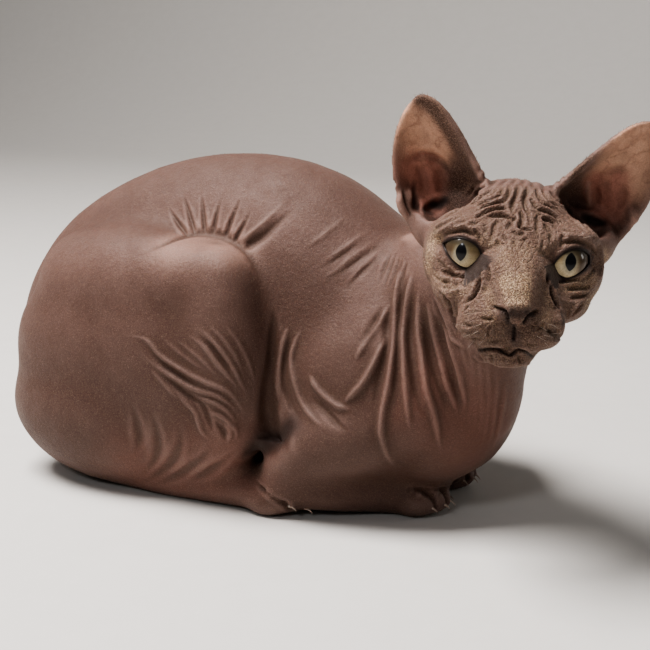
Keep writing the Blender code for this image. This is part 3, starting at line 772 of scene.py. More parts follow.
# %% Creases of the cheeks and the muzzle
FACE_LINES = [
    (1.0, -2.0, [(439, 268), (444, 271.5), (450, 274), (456, 276.3), (463, 276.5), (470, 276.3), (475, 273)]),
    (0.8, -1.3, [(441, 286), (447, 287.5), (454, 287.6), (460, 285)]),
    (0.8, -0.8, [(432, 273), (438, 279), (447, 282.5), (458, 283.5), (470, 281)]),
    (1.1, -2.1, [(478, 271), (479.5, 277), (479, 284), (476.5, 291), (473, 297), (467, 301), (460, 305)]),
    (0.9, -1.4, [(469, 305), (465.5, 308.5), (461.5, 312.5)]),
    (1.0, -1.8, [(485, 262), (487.5, 269), (489, 276), (488.5, 285)]),
    (1.3, -1.9, [(437, 290), (443, 295), (448, 302), (451.5, 309), (454, 318), (456, 328), (459, 338)]),
    (1.1, -1.2, [(433, 296), (438, 308), (443, 319), (448, 331), (453, 340)]),
    (0.8, -0.7, [(425, 244), (424, 256), (427, 268), (431, 279)]),
    (0.8, -0.7, [(436, 256), (441, 264), (449, 270), (459, 272)]),
    (1.0, -1.8, [(549, 271), (547.5, 277), (548, 285)]),
    (1.1, -2.1, [(551, 283), (551.5, 291), (554, 299), (557, 306), (557.5, 312)]),
    (4.5, 1.7, [(557, 304), (559, 313), (560, 321), (560, 328)]),
    (0.9, -1.3, [(553, 279), (559, 281.5), (566, 281.5), (574, 279.5), (582, 276)]),
    (1.0, -1.4, [(565, 290), (571, 289), (578, 288.5), (586, 287.5), (593, 284)]),
    (0.9, -1.1, [(568, 298), (575, 297.5), (583, 296), (590, 292)]),
    (0.9, -1.3, [(570, 319), (574, 313), (579, 308), (585, 303)]),
    (0.9, -1.2, [(604, 256), (606, 264), (606, 272), (604, 280), (600, 288)]),
    (0.8, -0.7, [(595, 266), (591, 274), (584, 279)]),
    (0.9, -1.1, [(549, 328), (553.5, 331.5), (557, 336)]),
    (0.8, -0.9, [(479, 317.5), (486, 319), (495, 319.5)]),
    (0.8, -0.7, [(462, 321), (467, 326), (474, 325)]),
    (0.8, -0.7, [(468, 338), (476, 339.5), (484, 337)]),
    (0.8, -0.7, [(535, 331), (541, 328), (546, 322)]),
    (0.7, -0.5, [(464, 317), (472, 312), (482, 311)]),
    (0.7, -0.4, [(476, 325), (482, 328), (486, 333)]),
    (0.7, -0.5, [(492, 325), (488, 332), (490, 339)]),
    (0.7, -0.4, [(486, 340), (494, 341.5), (502, 338)]),
    (0.7, -0.4, [(534, 338), (541, 334), (545, 327)]),
    (0.7, -0.4, [(524, 343), (533, 345), (541, 341)]),
    (0.7, -0.4, [(470, 346), (475, 341), (475, 334)]),
    (1.0, -1.4, [(441, 238), (447, 233.5), (455, 231.5), (463, 230.5), (469, 232.5), (474, 236), (478, 241)]),
    (1.0, -1.4, [(558, 249), (563, 244), (570, 241.5), (578, 241.5), (586, 244), (593, 250), (598, 258)]),
    (1.3, 0.8, [(443, 276.5), (450, 279.5), (458, 280), (464, 279.5)]),
    (1.2, 1.2, [(483, 268), (484.5, 276), (484.5, 285), (482, 292)]),
    (0.8, 1.0, [(452, 300), (455, 309), (455.5, 318), (457.5, 326), (461, 333)]),
    (1.3, 1.4, [(433, 292), (437, 302), (441.5, 312), (446, 322), (449.5, 331), (454, 339.5), (461, 345), (469, 350.5)]),
    (1.2, 0.9, [(440, 288), (446, 295), (451, 301)]),
    (1.1, 0.9, [(567, 322), (570, 315), (576, 308), (584, 301.5)]),
    (1.0, 0.7, [(561, 286), (567, 284), (575, 283), (584, 281)]),
    (1.0, 0.7, [(601, 254), (602.5, 263), (602, 272), (600, 281)]),
    (1.6, 0.8, [(432, 238), (441, 231.5), (450, 227.5), (459, 225), (468, 227)]),
    (1.6, 0.8, [(562, 238), (570, 235), (580, 235.5), (589, 240), (597, 248)]),
    (0.8, 0.6, [(460, 326.5), (466, 328.5), (473, 328.5)]),
    (0.8, 0.6, [(460.5, 340), (464, 335), (469, 332.5)]),
]
PAD_SLIMMER = [(557, 322), (556, 333), (551, 343)]
for half_width, height, stops in FACE_LINES:
    fold(seen(stops), half_width, height, ends=(0.3, 0.3), lips=0.3)
fold(seen(PAD_SLIMMER), 8.0, -3.8, ends=(0.6, 0.6), lips=0)

ring_mask, ring_phase = np.zeros(len(rest)), np.zeros(len(rest))
for side, outward in (("right", -1), ("left", 1)):
    away = in_frame(rest, HEAD) - in_frame(np.array([EYES[side]]), HEAD)
    oval = np.hypot(away[:, 1] / 13.0, (away[:, 2] + 0.25 * outward * away[:, 1]) / 8.6)
    window = ramp(oval, 1.08, 1.25) * (1 - ramp(oval, 1.9, 2.5)) * ramp(away[:, 0], 0, 4)
    window *= np.maximum(1 - ramp(away[:, 2], 3, 8), ramp(away[:, 1] * outward, 8, 13))
    ring_phase = np.where(window > ring_mask, oval * 4.6, ring_phase)
    ring_mask = np.maximum(ring_mask, window)
relief += 0.25 * ring_mask * corrugated(ring_phase + 0.5 * wobble(rest, 13, 21))
print("cheeks and muzzle:", len(FACE_LINES), "lines, rings over", int((ring_mask > 0.5).sum()), "points")

# %% The nose, the mouth and the chin
NOSE_AND_MOUTH = [
    (1.9, 0.7, [(504, 305), (514, 306), (524, 306), (532, 305)]),
    (2.4, -1.0, [(512, 313), (518, 315), (524, 313)]),
    (0.8, -1.8, [(492, 305.5), (497, 308.5), (502, 310), (506, 312.5), (508, 317), (508, 323)]),
    (0.8, -1.8, [(540, 309), (536, 311.5), (530.5, 313.5), (527, 316), (525.5, 320), (523, 325)]),
    (0.65, 0.8, [(507, 310.5), (510, 313), (510.7, 318), (510.5, 322)]),
    (0.7, 0.9, [(533, 311.5), (528, 312), (524.5, 316), (522, 322)]),
    (0.7, 0.5, [(511, 322.5), (516, 321.5), (521, 322.5)]),
    (1.5, 0.6, [(497, 313), (500, 317), (503, 322)]),
    (1.5, 0.6, [(537, 317), (534, 320), (531, 325)]),
    (0.8, -1.5, [(515, 326), (514.3, 333), (513.6, 341)]),
    (1.6, 0.7, [(476, 345), (486, 344), (497, 344.5), (506, 347)]),
    (1.6, 0.7, [(520, 346), (527, 348), (534, 352)]),
    (0.8, -1.7, [(476, 350), (485, 349.5), (494, 349.5), (501, 350), (506, 352.5), (511, 353.8), (518, 350.5), (526, 352), (534, 357.5)]),
    (2.4, -0.8, [(484, 357), (500, 359), (516, 360), (530, 360)]),
    (0.8, -1.0, [(489.5, 354), (490.5, 359), (492, 364)]),
    (0.8, -1.0, [(519.5, 355), (520.5, 360), (521, 365)]),
    (0.7, -0.4, [(504, 356), (505, 362)]),
    (0.8, 0.7, [(473, 354), (478, 359), (484, 361), (489, 360)]),
    (0.8, 0.7, [(492, 361), (497, 365), (505, 366), (513, 365.5), (518, 362)]),
    (0.8, 0.7, [(522, 362), (526, 365), (530, 362)]),
]
for half_width, height, stops in NOSE_AND_MOUTH:
    fold(seen(stops), half_width, height, ends=(0.18, 0.18), lips=0.06)

# %% [markdown]
# The cup of an ear is not smooth: a soft groove arches over its floor, flutes run down to the ear
# canal, the outer edge has a small pocket, and the rim is rolled.

# %% Inside of the ears
EAR_LINES = [
    (2.4, -0.8, [(406, 170), (410, 160), (419, 155), (430, 156), (441, 163), (448, 176)]),
    (2.6, 0.6, [(404, 160), (409, 150), (420, 146), (434, 148), (446, 157)]),
    (2.2, -0.7, [(412, 162), (420, 170), (424, 184), (424, 198)]),
    (2.2, 0.7, [(424, 160), (431, 174), (434, 190), (434, 204)]),
    (1.8, -0.7, [(437, 164), (441, 180), (441, 196)]),
    (2.2, 1.9, [(400, 190), (400, 200), (403, 211), (409, 221)]),
    (1.8, 1.5, [(407, 186), (409, 195), (409, 205)]),
    (1.0, -1.2, [(403, 186), (404, 197), (407, 208), (412, 216)]),
    (1.4, -1.4, [(414, 182), (414, 196), (417, 208), (424, 218)]),
    (1.2, -1.4, [(394, 180), (395, 192), (398, 204), (402, 216)]),
    (1.6, -0.8, [(408, 166), (414, 159), (424, 155), (436, 158), (446, 168), (452, 180)]),
    (3.0, -3.4, [(422, 211), (430, 207), (438, 203), (447, 199)]),
    (3.0, 0.6, [(419, 100), (436, 116), (450, 138), (462, 158), (468, 176)]),
    (2.4, -0.7, [(598, 176), (608, 171), (620, 170), (632, 172)]),
    (2.4, 0.6, [(594, 167), (606, 163), (622, 161), (636, 164)]),
    (1.8, 1.2, [(589, 178), (588, 192), (590, 208)]),
    (1.6, -1.2, [(597, 180), (596, 196), (598, 212)]),
    (2.0, 0.8, [(612, 176), (612, 192), (610, 210)]),
    (1.8, -1.0, [(625, 180), (623, 196), (617, 212)]),
    (2.2, -2.6, [(583, 216), (590, 219), (598, 222), (606, 224)]),
    (2.2, 1.6, [(630, 206), (634, 216), (632, 228), (626, 238)]),
]
for half_width, height, stops in EAR_LINES:
    fold(seen(stops), half_width, height)
relief += 0.05 * wobble(rest, 5, 11) * ramp(z, 10, 20)
relief *= ramp(from_lid, 0.3, 1.8)
sculpted = rest + rest_normals * relief[:, None] * MM
print("relief from", round(relief.min(), 2), "to", round(relief.max(), 2), "mm")

# %% [markdown]
# Creases are painted darker as painted shade, and ridges paler as painted highlight. How far each point
# lies below or above its smoothed surroundings says which it is, once for fine wrinkles and once for
# broad folds. The numbers are kept on the mesh, and the material reads them.

# %% Depth of the folds as a number
masks = {name: np.zeros(len(rest)) for name in ("down", "blush_and_painted_light", "warm_backlit", "band_and_shade", "nose", "pale", "dark_and_shade", "low")}
masks["crazed"] = ramp(x, -26, -18) * (1 - ramp(z, 28, 36)) * ramp(from_lid, 0.5, 1.5)
masks["down"] += 0.07 + 0.15 * masks["crazed"]
# low: painted shade, darker towards the floor, less on the face
masks["low"] += 0.95 * (1 - ramp(rest[:, 2], 0.03, 0.17)) * (1 - 0.6 * masks["crazed"])
# painted shade on the up-facing skin of the body, so the top of the back is darker
painted_back_shade = ramp(rest_normals[:, 2], 0.35, 0.9) * (1 - ramp(x, -90, -70))
masks["low"] = np.maximum(masks["low"], 0.5 * painted_back_shade)
smooth_fine = smoothed(sculpted, rest_edges, 8)
smooth_broad = smoothed(smooth_fine, rest_edges, 40)
fine_height = ((sculpted - smooth_fine) * rest_normals).sum(axis=1) / MM
broad_height = ((smooth_fine - smooth_broad) * rest_normals).sum(axis=1) / MM
# crease: painted shade in folds and wrinkles, from their depth
masks["crease"] = np.clip(-fine_height / 0.12, 0, 1) * 0.6 + np.clip(-broad_height / 0.5, 0, 1) * 0.7 + 0.4 * hollow
# ridge: painted highlight on ridges, from their height
masks["ridge"] = np.clip(fine_height / 0.12, 0, 1) * 0.5 + np.clip(broad_height / 0.5, 0, 1) * 0.6
masks["lid"] = np.exp(-((np.maximum(from_lid, 0) / 0.7) ** 2))
print("fine height", np.percentile(fine_height, [2, 98]).round(2), "broad", np.percentile(broad_height, [2, 98]).round(2))


def brush(mask, stops, half_width, amount=1.0, both_sides=False):
    """Paints a soft stroke of one mask on the skin behind a curve of the picture."""
    line = seen(stops)
    if len(line) < 2:
        print("a stroke of", mask, "misses the skin:", stops[0])
        return
    for line in [line, mirrored(line)] if both_sides else [line]:
        near, distance, _, facing = along(line, 2.2 * half_width)
        stroke = amount * facing * np.exp(-((distance / half_width) ** 3))
        masks[mask][near] = np.maximum(masks[mask][near], stroke)


# %% [markdown]
# Each tone is painted in strokes, as with an airbrush: pale down on the nose, over the eyes and on the
# cheeks, warm thin skin inside the ears, made brighter as painted light shining through it, with a dark
# furry band along their edge that is partly painted shade, near-black tear corners and lid edges, and
# redder skin where it is thin. The near-black nostrils, lips and philtrum, the ear canals and the gap
# before the thigh are painted shade, as are the darker strokes beside the nose, under the muzzle, on
# the flank and on the back. The pale stroke on the knee is partly a painted highlight, and the red low
# on the haunch and chest partly a painted warm tint of the shade.

# %% Strokes of tone
STROKES = [
    ("down", [(504, 252), (507, 266), (509, 278)], 5.0, 0.5),
    ("down", [(524, 254), (524, 268), (523, 280)], 5.0, 0.5),
    ("down", [(508, 278), (510, 288), (513, 299)], 4.4, 1.0),
    ("down", [(523, 278), (523, 288), (522, 300)], 4.4, 1.0),
    ("down", [(484, 240), (500, 246), (520, 246), (545, 250)], 4.0, 0.4),
    # painted shade on the sides of the nose
    ("low", [(492, 262), (494, 276), (496, 292)], 5.0, 0.5),
    ("low", [(541, 268), (541, 282), (543, 298)], 4.0, 0.5),
    ("down", [(428, 266), (430, 246), (438, 236)], 4.5, 0.75),
    ("down", [(432, 276), (444, 286), (458, 290), (468, 286)], 5.0, 0.4),
    ("down", [(604, 256), (606, 272), (600, 290), (588, 304)], 5.0, 0.7),
    ("down", [(566, 286), (580, 286), (594, 280)], 5.0, 0.6),
    ("down", [(487, 292), (491, 304), (490, 318)], 4.0, 0.45),
    ("down", [(548, 296), (548, 310), (546, 324)], 4.0, 0.45),
    ("nose", [(511, 313), (516, 315), (521, 315), (524, 313)], 2.8, 1.0),
    ("nose", [(499, 312), (503, 316), (505, 321)], 2.0, 0.5),
    ("nose", [(532, 314), (530, 319), (527, 323)], 2.0, 0.5),
    ("nose", [(510, 330), (516, 334), (516, 344)], 2.6, 0.7),
    # near black in the nostrils, the philtrum and the mouth line: painted shade in these grooves
    ("dark_and_shade", [(493, 306), (498, 309), (503, 311)], 0.7, 0.7),
    ("dark_and_shade", [(502, 310.5), (506, 313.5), (507.8, 318), (508, 323)], 1.25, 1.0),
    ("dark_and_shade", [(533, 313.5), (529.5, 315), (526.5, 318), (524.5, 322)], 1.25, 1.0),
    ("dark_and_shade", [(514, 325), (513.7, 333), (513.2, 341)], 0.75, 1.0),
    ("dark_and_shade", [(478, 350.5), (488, 349.5), (498, 350), (505, 353), (511, 355), (517, 351), (523, 351.5), (530, 355), (536, 359)], 0.75, 0.9),
    # painted shadow in the gap in front of the thigh
    ("dark_and_shade", [(290, 426), (276, 436), (262, 444), (252, 452)], 6.0, 0.9),
    # painted shade under the whisker pads
    ("low", [(466, 322), (472, 334), (486, 340), (500, 343)], 9.0, 0.75),
    ("low", [(524, 344), (538, 338), (548, 326)], 8.0, 0.65),
    ("low", [(478, 318), (490, 322)], 5.0, 0.5),
    ("dark_and_shade", [(483, 258), (484, 262), (480, 267), (474, 270)], 1.6, 1.0),
    ("dark_and_shade", [(482, 256), (487, 259.5), (492, 260.5)], 0.9, 1.0),
    # painted shade in the crease below the right eye
    ("dark_and_shade", [(478.5, 284), (476.5, 291), (471, 299)], 0.9, 0.5),
    ("dark_and_shade", [(551, 267), (552.5, 273), (557, 278), (563, 280.5)], 2.0, 1.0),
    ("dark_and_shade", [(547.5, 268), (549, 273), (548.5, 278)], 1.2, 0.9),
    # painted shade in the crease below the left eye and down the muzzle
    ("dark_and_shade", [(551, 286), (552, 294), (557, 306), (558.5, 316), (561, 325)], 0.9, 0.8),
    ("dark_and_shade", [(442, 244), (448.5, 238.7), (456.6, 236.8), (464, 237.2), (471, 240), (477, 244)], 0.7, 0.8),
    ("dark_and_shade", [(563, 251.5), (571, 248.4), (577, 247.4), (583, 248.2), (588.5, 251.5), (592.5, 257), (590, 264)], 0.7, 0.8),
    # thin warm skin inside the ears, made brighter as painted light shining through it
    ("warm_backlit", [(408, 110), (414, 130), (420, 152)], 10.0, 1.0),
    ("warm_backlit", [(418, 108), (432, 130), (440, 150)], 8.0, 1.0),
    ("warm_backlit", [(626, 134), (616, 152), (606, 170)], 9.0, 1.0),
    ("warm_backlit", [(640, 134), (636, 160), (630, 184)], 9.0, 1.0),
    # red thin skin inside the ears, also brightened as painted light shining through it
    ("blush_and_painted_light", [(412, 168), (424, 182), (432, 198)], 9.0, 0.95),
    ("blush_and_painted_light", [(430, 164), (436, 180), (440, 194)], 6.0, 0.9),
    ("blush_and_painted_light", [(596, 182), (600, 196), (606, 208)], 8.0, 0.95),
    ("blush_and_painted_light", [(616, 180), (618, 196), (614, 212)], 7.0, 0.9),
    # dark furry band along the ear edges, partly painted shade under the rim
    ("band_and_shade", [(419, 98), (434, 110), (448, 130), (460, 150), (470, 172), (466, 192)], 4.6, 1.0),
    ("band_and_shade", [(462, 168), (460, 184), (454, 200)], 6.0, 0.85),
    ("band_and_shade", [(648, 115), (624, 127), (604, 143), (587, 158), (577, 172), (574, 190)], 3.6, 1.0),
    # painted shade in the ear canals and the pockets of the ear
    ("dark_and_shade", [(434, 203), (440, 204), (445, 200)], 2.6, 1.0),
    ("dark_and_shade", [(425, 211), (430, 212)], 2.2, 0.9),
    ("dark_and_shade", [(414, 182), (414, 196), (417, 207)], 1.2, 0.5),
    ("dark_and_shade", [(404, 197), (407, 208), (411, 215)], 0.7, 0.5),
    ("blush_and_painted_light", [(409, 164), (415, 158), (425, 155), (437, 158)], 1.5, 1.0),
    # paler on the ridges inside the ears
    ("pale", [(399, 194), (401, 206), (405, 217)], 2.6, 0.5),
    ("pale", [(408, 192), (410, 203)], 1.8, 0.4),
    # painted shade in the canal of the left ear
    ("dark_and_shade", [(585, 217), (594, 220), (603, 223)], 2.6, 1.0),
    ("pale", [(404, 194), (406, 206), (409, 214)], 2.4, 0.6),
    ("pale", [(408, 236), (416, 238)], 3.5, 0.5),
    ("pale", [(632, 212), (634, 224), (628, 236)], 2.6, 0.6),
    ("pale", [(476, 164), (479, 172), (482, 180)], 3.4, 0.4),
    ("pale", [(588, 182), (588, 194), (589, 204)], 1.4, 0.6),
]
BODY_STROKES = [
    # the knee: paler stretched skin with a painted highlight
    ("pale", [(176, 246), (204, 240), (232, 250)], 14.0, 0.45),
    # redder low on the haunch and on the chest: partly skin tone, partly a painted warm tint of the shade
    ("blush_and_painted_light", [(150, 470), (190, 470), (230, 460)], 26.0, 0.18),
    ("blush_and_painted_light", [(440, 400), (470, 420), (490, 440)], 26.0, 0.2),
    # painted shade on the flank and along the top of the back
    ("low", [(300, 300), (310, 350), (330, 400), (370, 430)], 34.0, 0.8),
    ("low", [(100, 220), (180, 175), (270, 165), (340, 200)], 22.0, 0.65),
]
for mask, stops, half_width, amount in STROKES:
    brush(mask, stops, half_width, amount)
for mask, stops, half_width, amount in BODY_STROKES:
    brush(mask, stops, half_width, amount, both_sides=True)
print("tones:", {name: int((values > 0.5).sum()) for name, values in masks.items()})

# %% [markdown]
# A mesh of nearly a million triangles is too heavy for a reusable part. The Decimate modifier joins
# triangles where the skin is flat and leaves them where it is folded, so it needs no mask. It works
# in whole units, so the cat is handed to it in millimetres: in metres its error counts as nothing.
# Round the lids the dark rim needs short triangles to stay narrow, so long edges are cut there again.
# The numbers are carried over to the lighter mesh from the nearest point of the dense one.

# %% Thin the skin out
SKIN_TRIANGLES, LONGEST_LIGHT_EDGE = 184000, 1.0 * MM
put_points(skin_mesh, sculpted / MM)
triangles = sum(len(face.vertices) - 2 for face in skin_mesh.polygons)
thin = skin.modifiers.new("Thin", "DECIMATE")
thin.ratio = SKIN_TRIANGLES / triangles
bpy.context.view_layer.update()
light_mesh = bpy.data.meshes.new_from_object(skin.evaluated_get(bpy.context.evaluated_depsgraph_get()))
skin.modifiers.remove(thin)
put_points(light_mesh, points_of(light_mesh) * MM)
cut_long_edges(light_mesh, LONGEST_LIGHT_EDGE, 8 * MM)
light_triangles = sum(len(face.vertices) - 2 for face in light_mesh.polygons)
print(triangles, "triangles thinned to", light_triangles)

tree = KDTree(len(rest))
for index, spot in enumerate(sculpted):
    tree.insert(spot, index)
tree.balance()
light_points = points_of(light_mesh)
nearest = np.array([tree.find(spot)[1] for spot in light_points])
skin.data = light_mesh
for name, values in masks.items():
    attribute = light_mesh.attributes.new(name, "FLOAT", "POINT")
    attribute.data.foreach_set("value", values[nearest].astype(np.float32))
light_mesh.shade_smooth()
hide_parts(*FLESH)
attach(skin, "root")

# %% [markdown]
# Materials are built from small helpers, so that a line reads like a sentence: mix these two colours
# by that mask, or set this noise at that scale. Scales are in patterns a metre, since everything here
# is in metres and Object coordinates start at the origin of the part.

# %% Helpers for materials
def put(tree, socket, value):
    """Links a socket, or sets a plain value on it."""
    if isinstance(value, bpy.types.NodeSocket):
        tree.links.new(value, socket)
    else:
        socket.default_value = value


def math_of(tree, operation, first, second=0.0, clamp=False):
    step = tree.nodes.new("ShaderNodeMath")
    step.operation, step.use_clamp = operation, clamp
    put(tree, step.inputs[0], first)
    put(tree, step.inputs[1], second)
    return step.outputs[0]


def mixed(tree, share, first, second, blend="MIX"):
    step = tree.nodes.new("ShaderNodeMix")
    step.data_type, step.blend_type = "RGBA", blend
    put(tree, step.inputs["Factor"], share)
    put(tree, step.inputs["A"], first)
    put(tree, step.inputs["B"], second)
    return step.outputs["Result"]


def ranged(tree, value, low, high, to_low=0.0, to_high=1.0):
    step = tree.nodes.new("ShaderNodeMapRange")
    for socket, number in zip(step.inputs, (value, low, high, to_low, to_high)):
        put(tree, socket, number)
    return step.outputs["Result"]


def noise(tree, vector, scale, detail=3.0, roughness=0.55, distortion=0.0):
    step = tree.nodes.new("ShaderNodeTexNoise")
    put(tree, step.inputs["Vector"], vector)
    for name, value in (("Scale", scale), ("Detail", detail), ("Roughness", roughness), ("Distortion", distortion)):
        step.inputs[name].default_value = value
    return step.outputs["Fac"]


def cracks(tree, vector, scale, width):
    """1 on the borders between irregular cells, 0 inside them."""
    step = tree.nodes.new("ShaderNodeTexVoronoi")
    step.feature = "DISTANCE_TO_EDGE"
    put(tree, step.inputs["Vector"], vector)
    step.inputs["Scale"].default_value = scale
    return ranged(tree, step.outputs["Distance"], 0.0, width, 1.0, 0.0)


def number_on_mesh(tree, name):
    step = tree.nodes.new("ShaderNodeAttribute")
    step.attribute_name = name
    return step.outputs["Fac"]


def rgb(red, green, blue):
    return (red, green, blue, 1.0)


def new_material(name, **values):
    """A material with its Principled shader, and the shader's plain values set on its own sockets."""
    material = bpy.data.materials.new(name)
    material.use_nodes = True
    shader = material.node_tree.nodes["Principled BSDF"]
    for socket, value in values.items():
        shader.inputs[socket.replace("_", " ")].default_value = value
    return material, material.node_tree, shader


def object_place(tree):
    return tree.nodes.new("ShaderNodeTexCoord").outputs["Object"]


# %% [markdown]
# Bare skin is never one colour. Blood shows through it in broad soft patches, and pores and fine lines
# darken it. Folds are painted darker and redder as painted shade, ridges paler as painted highlight, and
# the skin is painted darker low down and on the back as painted shade. A trace of light passes under the
# surface, and a down too short to see gives a soft sheen at grazing angles.

# %% Skin material
material, tree, shader = new_material(
    "bare_skin",
    Subsurface_Weight=0.12,
    Subsurface_Radius=(1.0, 0.35, 0.2),
    Subsurface_Scale=0.003,
    Sheen_Weight=0.07,
    Sheen_Roughness=0.5,
    Sheen_Tint=rgb(1.0, 0.80, 0.70),
    Specular_IOR_Level=0.30,
    Specular_Tint=rgb(1.0, 0.86, 0.80),
)
place = object_place(tree)
warp = tree.nodes.new("ShaderNodeVectorMath")
warp.operation = "MULTIPLY_ADD"
put(tree, warp.inputs[0], noise(tree, place, 260.0, 2.0))
warp.inputs[1].default_value = (2.2 * MM, 2.2 * MM, 2.2 * MM)
put(tree, warp.inputs[2], place)
net = math_of(tree, "MAXIMUM", cracks(tree, warp.outputs[0], 330.0, 0.16), cracks(tree, warp.outputs[0], 620.0, 0.10))
patches = noise(tree, place, 20.0, 4.0, 0.6)
mottle = noise(tree, place, 120.0, 4.0, 0.65)
specks = noise(tree, place, 2000.0, 2.0, 0.7)
veins = math_of(tree, "ABSOLUTE", math_of(tree, "SUBTRACT", noise(tree, warp.outputs[0], 75.0, 3.0, 0.5), 0.5))
colour = mixed(tree, ranged(tree, patches, 0.35, 0.68), rgb(0.094, 0.048, 0.040), rgb(0.132, 0.074, 0.063))
colour = mixed(tree, ranged(tree, mottle, 0.38, 0.70, 0.0, 0.6), colour, rgb(0.066, 0.028, 0.023))
# painted shade: darker low down, on the back, the flank, beside the nose and under the muzzle
colour = mixed(tree, number_on_mesh(tree, "low"), colour, rgb(0.040, 0.015, 0.012))
colour = mixed(tree, ranged(tree, specks, 0.60, 0.72, 0.0, 0.35), colour, rgb(0.26, 0.18, 0.15))
bare_ear = math_of(tree, "MAXIMUM", number_on_mesh(tree, "warm_backlit"), number_on_mesh(tree, "blush_and_painted_light"))
# painted shade in the creases, weaker in the ears
crease = math_of(tree, "MINIMUM", number_on_mesh(tree, "crease"), 1.0)
crease = math_of(tree, "MULTIPLY", crease, ranged(tree, bare_ear, 0.0, 1.0, 0.8, 0.15))
# painted highlight on the ridges
ridge = math_of(tree, "MINIMUM", number_on_mesh(tree, "ridge"), 1.0)
colour = mixed(tree, math_of(tree, "MULTIPLY", ridge, 0.35), colour, rgb(0.26, 0.175, 0.152))
# thin warm skin in the ears, brightened as painted light shining through it
colour = mixed(tree, number_on_mesh(tree, "warm_backlit"), colour, mixed(tree, patches, rgb(0.52, 0.25, 0.155), rgb(0.66, 0.43, 0.31)))
# red thin skin, brightened in the ears as painted light, and a painted warm tint of shade low on the body
colour = mixed(tree, number_on_mesh(tree, "blush_and_painted_light"), colour, mixed(tree, mottle, rgb(0.20, 0.055, 0.038), rgb(0.50, 0.22, 0.165)))
vein = math_of(tree, "MULTIPLY", bare_ear, ranged(tree, veins, 0.0, 0.055, 0.32, 0.0))
colour = mixed(tree, vein, colour, rgb(0.12, 0.03, 0.02))
# paler skin, with a painted highlight on the knee
colour = mixed(tree, number_on_mesh(tree, "pale"), colour, rgb(0.38, 0.23, 0.185))
# painted shade: creases darker and redder
colour = mixed(tree, crease, colour, rgb(0.045, 0.020, 0.015))
crazed = math_of(tree, "MULTIPLY", number_on_mesh(tree, "crazed"), net)
colour = mixed(tree, math_of(tree, "MULTIPLY", crazed, 0.28), colour, rgb(0.045, 0.018, 0.012))
down = math_of(tree, "MULTIPLY", number_on_mesh(tree, "down"), ranged(tree, specks, 0.42, 0.60, 0.1, 1.0))
colour = mixed(tree, down, colour, rgb(0.52, 0.37, 0.23))
# the ear edges: a dark furry band, partly painted shade under the rim
hairs_and_shade = mixed(tree, ranged(tree, specks, 0.45, 0.62), rgb(0.045, 0.020, 0.014), rgb(0.20, 0.125, 0.09))
colour = mixed(tree, number_on_mesh(tree, "band_and_shade"), colour, hairs_and_shade)
colour = mixed(tree, number_on_mesh(tree, "nose"), colour, rgb(0.042, 0.025, 0.020))
# near black: tear corners and lid edges, and painted shade in nostrils, mouth, ear canals and gaps
colour = mixed(tree, number_on_mesh(tree, "dark_and_shade"), colour, rgb(0.012, 0.006, 0.005))
colour = mixed(tree, number_on_mesh(tree, "lid"), colour, rgb(0.014, 0.008, 0.006))
colour = mixed(tree, ranged(tree, specks, 0.35, 0.65, 0.25, 0.0), colour, rgb(0.05, 0.024, 0.018))
put(tree, shader.inputs["Base Color"], colour)
put(tree, shader.inputs["Roughness"], ranged(tree, mottle, 0.3, 0.7, 0.50, 0.64))
bump = tree.nodes.new("ShaderNodeBump")
bump.inputs["Distance"].default_value = 0.33 * MM
bump.inputs["Strength"].default_value = 1.0
height = math_of(tree, "ADD", noise(tree, place, 450.0, 3.0, 0.6), math_of(tree, "MULTIPLY", specks, 0.7))
height = math_of(tree, "SUBTRACT", height, math_of(tree, "MULTIPLY", crazed, 0.9))
put(tree, bump.inputs["Height"], height)
put(tree, shader.inputs["Normal"], bump.outputs["Normal"])
light_mesh.materials.clear()
light_mesh.materials.append(material)
skin_material = material

# %% [markdown]
# This breed isn't quite naked. Short down stands on the nose, round the eyes, along the ears, on the
# toes and at the end of the tail, and softens the outline on every side. Each tuft is one tiny closed
# cone with its root in the skin. A particle system could grow them too, but not every program keeps
# one. The tufts share the skin's material and numbers, so their colour follows its markings.

# %% Helpers for hair
TUFT_SUNK, PATCH, UNWRAP_SIZE = 0.2 * MM, 0.003, 0.45


def unit(vectors):
    return vectors / np.maximum(np.linalg.norm(vectors, axis=1), 1e-12)[:, None]


def cone_template():
    """The points and triangles of a closed three-sided cone, one unit long and pointing up."""
    builder = bmesh.new()
    bmesh.ops.create_cone(builder, cap_ends=True, segments=3, radius1=1, radius2=0, depth=1)
    bmesh.ops.remove_doubles(builder, verts=builder.verts, dist=1e-4)
    bmesh.ops.translate(builder, verts=builder.verts, vec=(0, 0, 0.5))
    bmesh.ops.recalc_face_normals(builder, faces=builder.faces)
    builder.verts.index_update()
    points = np.array([vertex.co for vertex in builder.verts])
    triangles = np.array([[vertex.index for vertex in face.verts] for face in builder.faces])
    builder.free()
    return points, triangles


def unwrapped(roots, normals):
    """Places of the roots on a flat map: the six sides of a box round the cat, laid side by side."""
    axis = np.abs(normals).argmax(axis=1)
    tile = axis + 3 * (normals[np.arange(len(roots)), axis] > 0)
    others = np.array([[1, 2], [0, 2], [0, 1]])[axis]
    flat = np.take_along_axis(roots - roots.min(axis=0), others, axis=1) / UNWRAP_SIZE
    return (np.stack([tile % 3, tile // 3], axis=1) + 0.02 + 0.96 * flat) / (3, 2)


